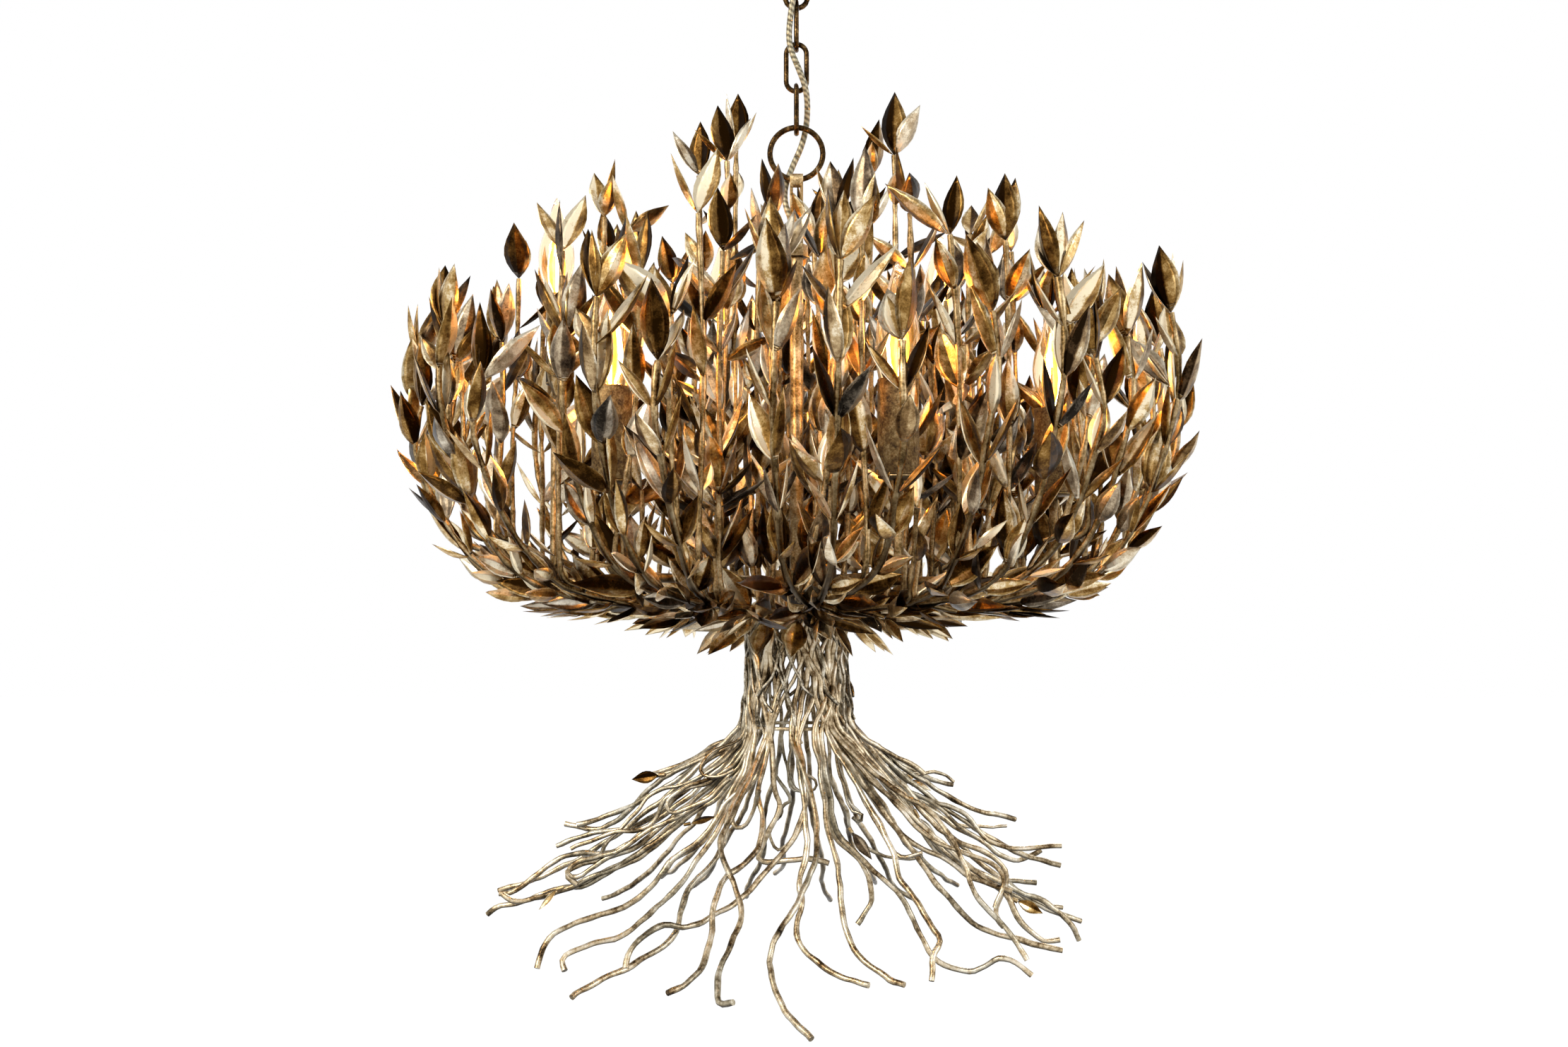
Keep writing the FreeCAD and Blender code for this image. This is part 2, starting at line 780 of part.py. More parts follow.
def fork_points(turn, reach_share, rise_share):
    """A fork's line: it leaves the rod's side at the rod's second point."""
    rod_side = flat_reach(size("rod_radius"), ROD_SIDES)
    fork_side = flat_reach(size("fork_radius"), FORK_SIDES)
    beside = math.copysign(rod_side + seat_gap + fork_side, turn)
    start = rod_points()[1] + vector(0, beside, 0)
    return [start] + stem_points(turn, reach_share, rise_share)[2:]


def stem_at(points, radius):
    """The place on a stem at a distance from the middle, and the slope there."""
    for low, high in zip(points, points[1:]):
        near = math.hypot(low.x, low.y)
        far = math.hypot(high.x, high.y)
        if near <= radius <= far:
            place = low + (high - low) * ((radius - near) / (far - near))
            return place, (high.z - low.z) / (far - near)
    raise ValueError("no stem at radius %.1f" % radius)


def crown_height(radius):
    """Height of the crown's outline at a radius: a low dome from its peak to its edge."""
    share = (radius / size("rim_radius")) ** crown_slope_power
    return size("peak_height") + (size("edge_height") - size("peak_height")) * share


def wand_shape(leaf, points, crest, radius, height_share, first_turn):
    """An upright wand on a stem, with leaves round it and one at its end."""
    place, slope = stem_at(points, radius)
    foot = place.z + crest * math.sqrt(1 + slope ** 2) + size("wand_radius") * slope + seat_gap
    top = crown_height(radius) * height_share - size("leaf_length") * end_leaf_reach_share
    base = vector(place.x, place.y, foot)
    rise = vector(0, 0, top - foot)
    stem = wire_along([base, base + rise], size("wand_radius"), WAND_SIDES)
    leaves = []
    for number, share in enumerate(wand_leaf_shares):
        angle = math.radians(first_turn + golden_turn * number)
        away = vector(math.cos(angle), math.sin(angle), 0)
        leaves.append(leaf_on_stem(leaf, base + rise * share, UP, away, size("leaf_splay")))
    end_angle = math.radians(first_turn + golden_turn * len(wand_leaf_shares))
    end_away = vector(math.cos(end_angle), math.sin(end_angle), 0)
    end_point = vector(place.x, place.y, top - size("wand_radius"))
    leaves.append(leaf_on_stem(leaf, end_point, UP, end_away, size("leaf_splay") * end_leaf_splay_share))
    return one_solid(stem.multiFuse(leaves))


def leafy_stem(leaf, points, first, radius, sides, extra_leaves):
    """A bent stem with a leaf on each of its outer runs, to its two sides by turns, and one at its end."""
    leaves = list(extra_leaves)
    side = 1
    for low, high in zip(points[first:], points[first + 1:]):
        along = high - low
        outward = vector(0, 1, 0).cross(along).normalize()
        away = vector(0, side * side_lean, 0) + outward
        leaves.append(leaf_on_stem(leaf, (low + high) / 2, along, away, size("leaf_splay")))
        side = -side
    end_along = points[-1] - points[-2]
    end_point = points[-1] - end_along.normalize() * radius
    end_splay = size("leaf_splay") * end_leaf_splay_share
    leaves.append(leaf_on_stem(leaf, end_point, end_along, vector(1, 0, 0), end_splay))
    return one_solid(wire_along(points, radius, sides).multiFuse(leaves))


def rod_shape(leaf):
    """The rod, with two more leaves that hang from its level run."""
    points = rod_points()
    run = points[2] - points[1]
    low_leaves = []
    for number, share in enumerate(rod_leaf_shares):
        away = vector(0, 1 - 2 * number, -1)
        low_leaves.append(leaf_on_stem(leaf, points[1] + run * share, run, away, size("leaf_splay")))
    return leafy_stem(leaf, points, TURN_UP - 1, size("rod_radius"), ROD_SIDES, low_leaves)


def make_branches():
    leaf = leaf_shape()
    lines = {"rod": rod_points()}
    crests = {"rod": size("rod_radius")}
    stems = [rod_shape(leaf)]
    for side, (turn, reach_share, rise_share) in fork_shares.items():
        lines[side] = fork_points(turn, reach_share, rise_share)
        crests[side] = flat_reach(size("fork_radius"), FORK_SIDES)
        stems.append(leafy_stem(leaf, lines[side], TURN_UP, size("fork_radius"), FORK_SIDES, ()))
    for number in range(BRANCH_COUNT):
        wands = odd_wands if number % 2 else even_wands
        solids = list(stems)
        for (stem, share, first_turn), height_share in zip(wands, wand_height_shares[number]):
            radius = size("rim_radius") * share
            solids.append(wand_shape(leaf, lines[stem], crests[stem], radius, height_share, first_turn))
        angle = BRANCH_ANGLE_OFFSET + 360.0 / BRANCH_COUNT * number
        feature("branch_%02d" % (number + 1), Part.makeCompound(solids), vector(0, 0, base_level), angle)


# Lamps: six arms from the drum, each with a seat, a socket, a sleeve and a flame bulb

LOW_LAMPS = (0, 1, 2)
HIGH_LAMPS = (3, 4, 5)
bulb_outline_shares = ((1.7, 0.17), (2.13, 0.38), (1.68, 0.60), (0.85, 0.83))


def lamp_angle(number):
    return FIRST_LAMP_ANGLE + 360.0 / LAMP_COUNT * number


def lamp_group(label, numbers, shape):
    """The same piece at several lamps, as separate solids of one sub-part."""
    pieces = []
    for number in numbers:
        piece = shape.copy()
        piece.translate(vector(size("lamp_ring_radius"), 0, 0))
        piece.rotate(vector(0, 0, 0), UP, lamp_angle(number))
        pieces.append(piece)
    feature(label, Part.makeCompound(pieces), vector(0, 0, base_level))


def tube_outline(outer, bore, foot, top):
    return ((outer, foot), (outer, top), (bore, top), (bore, foot))


def make_lamp_arm(number, seat_level, seat_radius):
    """An arm tube that runs out level, bends up with small steps and ends in a round seat."""
    run = size("arm_level")
    bend = size("arm_bend")
    reach = size("lamp_ring_radius")
    bend_centre = vector(reach - bend, 0, run + bend)
    corner = arc_points(bend_centre, bend, -90, 0, 3, vector(1, 0, 0), UP)
    start = vector(size("arm_hub_radius") + seat_gap, 0, run)
    seat_top = seat_level - seat_gap
    seat_foot = seat_top - size("seat_thickness")
    points = [start] + corner + [vector(reach, 0, (seat_top + seat_foot) / 2)]
    tube = wire_along(points, size("arm_radius"), 6)
    seat = lathe(((0, seat_foot), (seat_radius, seat_foot), (seat_radius, seat_top), (0, seat_top)))
    seat.translate(vector(reach, 0, 0))
    arm = one_solid(tube.fuse(seat).removeSplitter())
    feature("lamp_arm_%d" % (number + 1), arm, vector(0, 0, base_level), lamp_angle(number))


def bulb_shape(foot):
    """A flame bulb whose glass begins at its foot, with the screw base below it."""
    base = size("bulb_base_radius")
    outline = [(0, foot - size("bulb_base_length")), (base, foot - size("bulb_base_length")), (base, foot)]
    outline.append((size("bulb_neck_radius"), foot))
    for radius_share, height_share in bulb_outline_shares:
        outline.append((size("bulb_neck_radius") * radius_share, foot + size("bulb_length") * height_share))
    outline.append((0, foot + size("bulb_length")))
    return lathe(outline)


def make_lamp_set(name, numbers):
    lamp_height = size(name + "_lamp_height")
    sleeve_radius = size(name + "_sleeve_radius")
    seat_level = lamp_height - size(name + "_sleeve_length")
    for number in numbers:
        make_lamp_arm(number, seat_level, sleeve_radius)
    bore = sleeve_radius - size("sleeve_wall")
    lamp_group(name + "_sleeves", numbers, lathe(tube_outline(sleeve_radius, bore, seat_level, lamp_height)))
    socket_bore = size("bulb_base_radius") + 2 * size("slide_gap")
    socket_top = seat_level + size(name + "_socket_length")
    lamp_group(name + "_sockets", numbers,
               lathe(tube_outline(size("socket_radius"), socket_bore, seat_level, socket_top)))
    lamp_group(name + "_bulbs", numbers, bulb_shape(lamp_height + seat_gap))


def make_lamps():
    make_lamp_set("low", LOW_LAMPS)
    make_lamp_set("high", HIGH_LAMPS)


# Trunk and roots: wires that run down round the trunk and flare out to their tips

root_tip_shares = (
    # angle, reach share, drop share, in order round the trunk from +X
    (0, 0.90, 0.93),
    (9, 0.86, 0.78),
    (20, 0.78, 0.66),
    (33, 0.62, 0.55),
    (46, 0.84, 0.92),
    (58, 0.76, 0.97),
    (70, 0.90, 0.95),
    (82, 0.80, 1.0),
    (94, 0.93, 0.93),
    (105, 0.76, 0.98),
    (116, 0.88, 0.96),
    (128, 0.80, 0.90),
    (141, 0.86, 0.95),
    (154, 0.58, 0.52),
    (165, 0.74, 0.66),
    (176, 0.96, 0.85),
    (185, 1.0, 0.92),
    (196, 0.90, 0.97),
    (207, 0.86, 1.0),
    (219, 0.80, 0.98),
    (231, 1.0, 0.97),
    (244, 0.82, 1.0),
    (258, 0.86, 0.98),
    (272, 1.0, 1.06),
    (284, 0.66, 1.0),
    (294, 0.74, 0.97),
    (305, 0.72, 1.0),
    (317, 0.82, 0.98),
    (329, 0.90, 0.92),
    (339, 0.82, 0.84),
    (350, 0.96, 0.99),
)
root_run_shares = (0.16, 0.36, 0.58, 0.80, 1.0)
root_sway_shares = (0.2, -0.8, 1.0, -0.7, 0.8)
root_curve_power = 1.5
ROOT_GROUPS = 8
ROOT_SIDES = 5


def root_points(number):
    tip_angle, reach_share, drop_share = root_tip_shares[number]
    count = len(root_tip_shares)
    trunk_angle = 360.0 * number / count
    reach = size("root_reach") * reach_share
    drop = size("root_drop") * drop_share
    foot_radius = size("trunk_foot_radius")
    trunk_turn = math.radians(trunk_angle)
    top = hub_foot_level - base_level - seat_gap
    points = []
    for radius, level in (
        (size("trunk_radius"), top),
        (size("trunk_radius"), -size("trunk_height") / 2),
        (foot_radius, -size("trunk_height")),
    ):
        points.append(vector(radius * math.cos(trunk_turn), radius * math.sin(trunk_turn), level))
    swing = -1 if number % 2 else 1
    for run, sway in zip(root_run_shares, root_sway_shares):
        radius = foot_radius + (reach - foot_radius) * run
        fall = (drop - size("trunk_height")) * (1 - (1 - run) ** root_curve_power)
        angle = math.radians(trunk_angle + (tip_angle - trunk_angle) * run)
        drift = size("root_sway") * sway * swing
        outward = vector(math.cos(angle), math.sin(angle), 0)
        sideways = vector(-math.sin(angle), math.cos(angle), 0)
        points.append(outward * radius + sideways * drift + vector(0, 0, -size("trunk_height") - fall))
    return points


def make_roots():
    count = len(root_tip_shares)
    groups = [[] for _ in range(ROOT_GROUPS)]
    for number in range(count):
        wire = wire_along(root_points(number), size("root_wire") / 2, ROOT_SIDES)
        groups[number * ROOT_GROUPS // count].append(wire)
    for number, wires in enumerate(groups, start=1):
        feature("root_wires_%d" % number, Part.makeCompound(wires), vector(0, 0, base_level))


def make_foot_ring():
    """A flat ring inside the wires at the trunk's foot, which they are brazed to."""
    outer = size("trunk_foot_radius") - size("root_wire") / 2 - seat_gap
    level = base_level - size("trunk_height") - size("foot_ring_thickness") / 2
    plate = polygon_plate(outer, size("foot_ring_thickness"), level, len(root_tip_shares), 0.0)
    hole = polygon_plate(outer - size("foot_ring_width"), size("foot_ring_thickness") + 2 * size("overrun"),
                         level - size("overrun"), len(root_tip_shares), 0.0)
    feature("trunk_foot_ring", plate.cut(hole))


make_canopy()
make_crossbar()
make_canopy_screws()
make_canopy_loop()
hexagon_nut("canopy_nut", "nut_width", "nut_height", "Sizes.nipple_radius + Sizes.slide_gap",
            size("canopy_wall") - size("canopy_height") + seat_gap)
make_chain()
make_cord()
make_stem()
make_hub()
make_branches()
make_lamps()
make_roots()
make_foot_ring()
doc.recompute()
report_levels()

for item in doc.Objects:
    if "Invalid" in item.State or "Error" in item.State:
        raise RuntimeError("%s failed: %s" % (item.Label, item.State))
for node in parts:
    if node.Shape.isNull() or not node.Shape.isValid():
        raise RuntimeError("%s has no sound shape" % node.Label)

os.makedirs("parts", exist_ok=True)
for node in parts:
    node.Shape.exportStep("parts/%s.step" % node.Label)
print("%d nodes" % len(parts))
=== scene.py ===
import json
import math
import random

import bmesh
import bpy
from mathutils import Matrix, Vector

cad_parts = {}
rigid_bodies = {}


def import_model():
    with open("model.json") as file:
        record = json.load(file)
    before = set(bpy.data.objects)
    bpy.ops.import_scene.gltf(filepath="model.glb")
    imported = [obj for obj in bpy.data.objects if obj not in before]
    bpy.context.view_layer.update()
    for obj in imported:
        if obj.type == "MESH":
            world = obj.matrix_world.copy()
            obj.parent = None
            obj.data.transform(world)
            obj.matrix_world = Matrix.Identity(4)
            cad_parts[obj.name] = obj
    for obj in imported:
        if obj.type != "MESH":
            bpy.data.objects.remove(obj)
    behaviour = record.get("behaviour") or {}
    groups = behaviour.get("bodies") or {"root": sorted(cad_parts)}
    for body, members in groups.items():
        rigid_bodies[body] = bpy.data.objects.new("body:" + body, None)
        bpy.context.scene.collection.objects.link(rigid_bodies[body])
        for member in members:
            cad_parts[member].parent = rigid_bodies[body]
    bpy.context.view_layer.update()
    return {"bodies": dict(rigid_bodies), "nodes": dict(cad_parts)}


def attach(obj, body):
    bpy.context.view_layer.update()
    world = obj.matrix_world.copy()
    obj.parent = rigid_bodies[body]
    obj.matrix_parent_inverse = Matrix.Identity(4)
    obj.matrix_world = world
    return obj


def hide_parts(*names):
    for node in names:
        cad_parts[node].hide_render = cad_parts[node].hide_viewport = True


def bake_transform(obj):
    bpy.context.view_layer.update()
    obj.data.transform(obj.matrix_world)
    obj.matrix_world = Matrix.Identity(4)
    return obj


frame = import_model()

# Tree chandelier: leafy brass sprays over a trunk of bent wire, hung on a short chain.
# Metres throughout. The front looks along -Y and the ceiling is at height 0.

scene = bpy.context.scene
scene.view_settings.view_transform = "Standard"

# Levels of the CAD source: the foot of the branches, the hub plate's underside and the coupling's top
BASE_LEVEL = -0.6371
HUB_FOOT_LEVEL = -0.6430
COUPLING_LEVEL = -0.2941
MERGE_DISTANCE = 1e-6


# Camera: level with the trunk's top and tipped up a little

CAMERA_DISTANCE = 1.461
CAMERA_LEVEL = -0.640
CAMERA_LENS_MM = 36.19
SENSOR_WIDTH_MM = 36.0
NEAREST_VIEW = 0.05
CAMERA_TIP = math.radians(3.31)
CAMERA_TURN = math.radians(0.46)

camera_data = bpy.data.cameras.new("camera")
camera_data.lens = CAMERA_LENS_MM
camera_data.sensor_width = SENSOR_WIDTH_MM
camera_data.clip_start = NEAREST_VIEW
camera = bpy.data.objects.new("camera", camera_data)
camera.location = (0, -CAMERA_DISTANCE, CAMERA_LEVEL)
camera.rotation_euler = (math.radians(90) + CAMERA_TIP, 0, CAMERA_TURN)
scene.collection.objects.link(camera)
scene.camera = camera


# Helpers

def colour(code):
    """An sRGB hex colour as the linear values that shaders use."""
    channels = [int(code[place:place + 2], 16) / 255 for place in (1, 3, 5)]
    linear = [c / 12.92 if c <= 0.04045 else ((c + 0.055) / 1.055) ** 2.4 for c in channels]
    return (*linear, 1.0)


def add_node(tree, kind, inputs=None, out=0, stops=(), **settings):
    """Adds one node with its settings, values and links, and gives back one of its outputs.

    A colour ramp's stops are (place, hex colour).
    """
    node = tree.nodes.new(kind)
    for name, value in settings.items():
        setattr(node, name, value)
    for key, value in (inputs or {}).items():
        if isinstance(value, bpy.types.NodeSocket):
            tree.links.new(value, node.inputs[key])
        else:
            node.inputs[key].default_value = value
    if stops:
        elements = node.color_ramp.elements
        elements[0].position, elements[0].color = stops[0][0], colour(stops[0][1])
        elements[1].position, elements[1].color = stops[-1][0], colour(stops[-1][1])
        for place, code in stops[1:-1]:
            elements.new(place).color = colour(code)
    return node.outputs[out] if node.outputs else node


def new_object(name, data):
    piece = bpy.data.objects.new(name, data)
    scene.collection.objects.link(piece)
    return piece


def evaluated_mesh(piece):
    """The piece's mesh with its modifiers applied. The piece itself is removed."""
    depsgraph = bpy.context.evaluated_depsgraph_get()
    mesh = bpy.data.meshes.new_from_object(piece.evaluated_get(depsgraph), depsgraph=depsgraph)
    bpy.data.objects.remove(piece)
    return mesh


def settled(piece):
    """The piece as a plain mesh with its modifiers applied and its faces turned outward."""
    name = piece.name
    mesh = evaluated_mesh(piece)
    shape = bmesh.new()
    shape.from_mesh(mesh)
    bmesh.ops.remove_doubles(shape, verts=shape.verts, dist=MERGE_DISTANCE)
    bmesh.ops.recalc_face_normals(shape, faces=shape.faces)
    shape.to_mesh(mesh)
    shape.free()
    mesh.name = name
    return new_object(name, mesh)


def hang_on(piece, body, slot, *nodes):
    """The piece moves with a body and stands for these nodes, which are hidden. The slot is not used."""
    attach(piece, body)
    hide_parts(*nodes)


def smooth_curve(name, routes, gauges=None, resolution=6):
    """Smooth lines along routes. A gauge of less than 1 thins its line's wire."""
    data = bpy.data.curves.new(name, "CURVE")
    data.dimensions = "3D"
    data.resolution_u = resolution
    for route, gauge in zip(routes, gauges or [1.0] * len(routes)):
        spline = data.splines.new("NURBS")
        spline.points.add(len(route) - 1)
        for point, place in zip(spline.points, route):
            point.co = (*place, 1)
            point.radius = gauge
        spline.order_u = 3
        spline.use_endpoint_u = True
    return new_object(name, data)


# A tube that starts this near to upright takes its first side from another axis
NEAR_UPRIGHT = 0.2


def add_tube(shape, points, radius, sides, closed=False, finish=0):
    """Adds a round tube along points to a bmesh. A radius may be one number or one for each point."""
    layer = shape.loops.layers.uv.verify()
    count = len(points)
    radii = [radius] * count if isinstance(radius, float) else radius
    side = None
    rings = []
    lengths = [0.0]
    for place, point in enumerate(points):
        before = points[place - 1] if closed or place else point
        after = points[(place + 1) % count] if closed or place < count - 1 else point
        along = (after - before).normalized()
        if side is None:
            side = along.cross(Vector((0, 0, 1)))
            if side.length < NEAR_UPRIGHT:
                side = along.cross(Vector((0, 1, 0)))
        side = (side - along * side.dot(along)).normalized()
        other = along.cross(side)
        ring = []
        for corner in range(sides):
            angle = 2 * math.pi * corner / sides
            offset = side * math.cos(angle) + other * math.sin(angle)
            ring.append(shape.verts.new(point + offset * radii[place]))
        rings.append(ring)
        if place:
            lengths.append(lengths[-1] + (point - points[place - 1]).length)
    last = count if closed else count - 1
    for place in range(last):
        ring, following = rings[place], rings[(place + 1) % count]
        for corner in range(sides):
            ahead = (corner + 1) % sides
            face = shape.faces.new((ring[corner], ring[ahead], following[ahead], following[corner]))
            face.smooth = True
            face.material_index = finish
            low = lengths[place]
            high = lengths[place + 1] if place + 1 < count else low
            uvs = ((corner, low), (corner + 1, low), (corner + 1, high), (corner, high))
            for loop, (around, run) in zip(face.loops, uvs):
                loop[layer].uv = (around / sides, run)
    if not closed:
        for cap in (tuple(reversed(rings[0])), tuple(rings[-1])):
            face = shape.faces.new(cap)
            face.material_index = finish


def add_turned(shape, outline, sides, centre):
    """Adds a closed outline of (radius, height), turned about an upright axis, to a bmesh."""
    rings = []
    for radius, height in outline:
        ring = []
        for corner in range(sides if radius else 1):
            angle = 2 * math.pi * corner / sides
            place = Vector((radius * math.cos(angle), radius * math.sin(angle), height))
            ring.append(shape.verts.new(place + centre))
        rings.append(ring)
    for ring, following in zip(rings, rings[1:] + rings[:1]):
        if len(ring) == 1 and len(following) == 1:
            continue
        for corner in range(sides):
            ahead = (corner + 1) % sides
            loop = []
            for vertex in (ring[corner % len(ring)], ring[ahead % len(ring)],
                           following[ahead % len(following)], following[corner % len(following)]):
                if vertex not in loop:
                    loop.append(vertex)
            shape.faces.new(loop).smooth = True


def mesh_piece(name, shape, *finishes):
    """The bmesh as a piece with its faces turned outward."""
    bmesh.ops.recalc_face_normals(shape, faces=shape.faces)
    mesh = bpy.data.meshes.new(name)
    shape.to_mesh(mesh)
    shape.free()
    for finish in finishes:
        mesh.materials.append(finish)
    return new_object(name, mesh)


# Cord: its route is that of the CAD source, from the canopy's hole to the stem's coupling

CORD_DIAMETER = 0.0056
CORD_SIDES = 16
CORD_RESOLUTION = 12
CORD_HOLE_DEPTH = -0.017
CANOPY_FOOT_LEVEL = -0.030
# x, y and drop below the canopy, all in cord diameters
CORD_ROUTE_SHARES = (
    (-0.18, -3.04, 4.29),
    (-1.07, -2.32, 8.93),
    (-1.34, -1.70, 13.57),
    (0.27, -1.70, 17.32),
    (1.79, -1.07, 21.25),
    (1.88, 0.80, 25.54),
    (1.07, 1.70, 29.46),
    (-0.71, 1.70, 33.39),
    (-2.05, 1.07, 37.14),
    (-1.88, 0.18, 40.71),
    (-0.27, 0.0, 43.93),
)
CORD_ROUTE = [(0, CORD_HOLE_DEPTH, CANOPY_FOOT_LEVEL)]
for x, y, drop in CORD_ROUTE_SHARES:
    CORD_ROUTE.append((x * CORD_DIAMETER, y * CORD_DIAMETER, CANOPY_FOOT_LEVEL - drop * CORD_DIAMETER))
CORD_ROUTE.append((0, 0, COUPLING_LEVEL))
# Each stretch spans one joint of the chain: its name, the joint's level, the two bodies and the stretch's
# lower end
CORD_STRETCHES = (
    ("cord_at_canopy", -0.0672, "ceiling_body", "chain_link_1", -0.0846),
    ("cord_at_link_1", -0.1072, "chain_link_1", "chain_link_2", -0.1247),
    ("cord_at_link_2", -0.1473, "chain_link_2", "chain_link_3", -0.1648),
    ("cord_at_link_3", -0.1874, "chain_link_3", "hanging_ring", -0.2070),
    ("cord_at_ring", -0.23185, "hanging_ring", "chandelier", COUPLING_LEVEL),
)


def cord_points():
    """Points on the smooth line of the cord's route."""
    line = smooth_curve("cord route", [CORD_ROUTE], resolution=CORD_RESOLUTION)
    data = line.data
    mesh = evaluated_mesh(line)
    points = [vertex.co.copy() for vertex in mesh.vertices]
    bpy.data.meshes.remove(mesh)
    bpy.data.curves.remove(data)
    return points


def make_cord(finish):
    """The cord in five stretches, one for each of the five joints of the chain."""
    points = cord_points()
    start = 0
    for name, joint_level, upper, lower, end_level in CORD_STRETCHES:
        end = min(range(len(points)), key=lambda place: abs(points[place].z - end_level))
        stretch = points[start:end + 1]
        shape = bmesh.new()
        add_tube(shape, stretch, CORD_DIAMETER / 2, CORD_SIDES)
        piece = mesh_piece(name, shape, finish)
        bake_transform(piece)
        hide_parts("power_cord")
        start = end


# Finishes

def new_material(name):
    material = bpy.data.materials.new(name)
    material.use_nodes = True
    material.node_tree.nodes.clear()
    return material, material.node_tree


# How a leaf's painted light and shade, lit on one side of the midrib and shaded on the other, blends across
# the midrib, and where its rim is rubbed, as shares of its half width
MIDRIB_BLEND = 0.12
RUBBED_FROM = 0.78
RUBBED_LIFT = 0.3
# A leaf's tone times one of these gives, in its decimals, a second chance that is the leaf's own
HALF_SHADE_CHANCE = 23.0
COOL_CHANCE = 9.0
COOL_MOST = 0.75
# How far the painted shade on downward faces goes toward its dark colour
UNDER_SHADE_MOST = 0.88


def patinated_metal(name, stops, blotch, speck, rough, bump, grain=0.45, spread=0.14, tone_reach=0.0,
                    painted_half_shade=0.0, cool=None, cool_from=(0.45, 0.62), under=None, metallic=1.0):
    """Metal under a patina: cloudy blotches and dark specks, sizes in metres.

    With a tone reach, each leaf is darker or paler by its own tone, and a few are cooler, grey as a painted
    reflection of a cool sky. One side of a leaf is painted lit and the other painted in shade, by a share,
    and its rim is rubbed. Undersides may be painted darker, as shade.
    """
    material, tree = new_material(name)
    place = add_node(tree, "ShaderNodeTexCoord", out=3)
    clouds = add_node(tree, "ShaderNodeTexNoise",
                      {"Vector": place, "Scale": 1 / blotch, "Detail": 5.0, "Roughness": 0.62})
    specks = add_node(tree, "ShaderNodeTexNoise",
                      {"Vector": place, "Scale": 1 / speck, "Detail": 3.0, "Roughness": 0.7})
    mixed = add_node(tree, "ShaderNodeMix", {"Factor": grain, "A": clouds, "B": specks})
    factor = add_node(tree, "ShaderNodeMapRange",
                      {"Value": mixed, "From Min": 0.5 - spread, "From Max": 0.5 + spread})
    if tone_reach:
        shade = add_node(tree, "ShaderNodeAttribute", attribute_name="leaf_tone", out=2)
        shift = add_node(tree, "ShaderNodeMath", {0: shade, 1: 0.5}, operation="SUBTRACT")
        factor = add_node(tree, "ShaderNodeMath", {0: shift, 1: tone_reach, 2: factor},
                          operation="MULTIPLY_ADD")
    # Painted light and shade: one side of the midrib paler as if lit, the other darker as if in shade, the
    # side picked for each leaf
    if painted_half_shade:
        across = add_node(tree, "ShaderNodeAttribute", attribute_name="leaf_across", out=2)
        side = add_node(tree, "ShaderNodeMapRange", {"Value": across, "From Min": -MIDRIB_BLEND,
                                                     "From Max": MIDRIB_BLEND, "To Min": -1.0})
        many = add_node(tree, "ShaderNodeMath", {0: shade, 1: HALF_SHADE_CHANCE}, operation="MULTIPLY")
        chance = add_node(tree, "ShaderNodeMath", {0: many}, operation="FRACT")
        lean = add_node(tree, "ShaderNodeMapRange",
                        {"Value": chance, "From Min": 0.35, "From Max": 0.65, "To Min": -1.0})
        half = add_node(tree, "ShaderNodeMath", {0: side, 1: lean}, operation="MULTIPLY")
        factor = add_node(tree, "ShaderNodeMath", {0: half, 1: painted_half_shade, 2: factor}, operation="MULTIPLY_ADD")
        rim = add_node(tree, "ShaderNodeMath", {0: across}, operation="ABSOLUTE")
        rubbed = add_node(tree, "ShaderNodeMapRange",
                          {"Value": rim, "From Min": RUBBED_FROM, "From Max": 1.0, "To Max": RUBBED_LIFT})
        factor = add_node(tree, "ShaderNodeMath", {0: factor, 1: rubbed}, operation="ADD")
    tint = add_node(tree, "ShaderNodeValToRGB", {"Fac": factor}, stops=stops)
    # Cooler grey tint: on the leaves, picked for each leaf by its tone, it is a painted reflection of a cool
    # sky; on the wires it falls in noise patches
    if cool:
        if tone_reach:
            many = add_node(tree, "ShaderNodeMath", {0: shade, 1: COOL_CHANCE}, operation="MULTIPLY")
            patch = add_node(tree, "ShaderNodeMath", {0: many}, operation="FRACT")
        else:
            patch = add_node(tree, "ShaderNodeTexNoise",
                             {"Vector": place, "Scale": 0.3 / blotch, "Detail": 1.0})
        share = add_node(tree, "ShaderNodeMapRange", {"Value": patch, "From Min": cool_from[0],
                                                      "From Max": cool_from[1], "To Max": COOL_MOST})
        cooler = add_node(tree, "ShaderNodeValToRGB", {"Fac": factor}, stops=cool)
        tint = add_node(tree, "ShaderNodeMix", {0: share, 6: tint, 7: cooler}, out=2, data_type="RGBA")
    # Painted shade: faces that turn downward are mixed toward the darker under colour
    if under:
        facing = add_node(tree, "ShaderNodeTexCoord", out=1)
        level = add_node(tree, "ShaderNodeSeparateXYZ", {"Vector": facing}, out=2)
        share = add_node(tree, "ShaderNodeMapRange",
                         {"Value": level, "From Min": 0.05, "From Max": -0.6, "To Max": UNDER_SHADE_MOST})
        tint = add_node(tree, "ShaderNodeMix", {0: share, 6: tint, 7: colour(under)}, out=2,
                        data_type="RGBA")
    roughness = add_node(tree, "ShaderNodeMapRange",
                         {"Value": specks, "From Min": 0.3, "From Max": 0.7, "To Min": rough[0],
                          "To Max": rough[1]})
    relief = add_node(tree, "ShaderNodeBump", {"Strength": 0.35, "Distance": bump, "Height": mixed})
    shader = add_node(tree, "ShaderNodeBsdfPrincipled",
                      {"Base Color": tint, "Metallic": metallic, "Roughness": roughness, "Normal": relief})
    add_node(tree, "ShaderNodeOutputMaterial", {"Surface": shader})
    return material


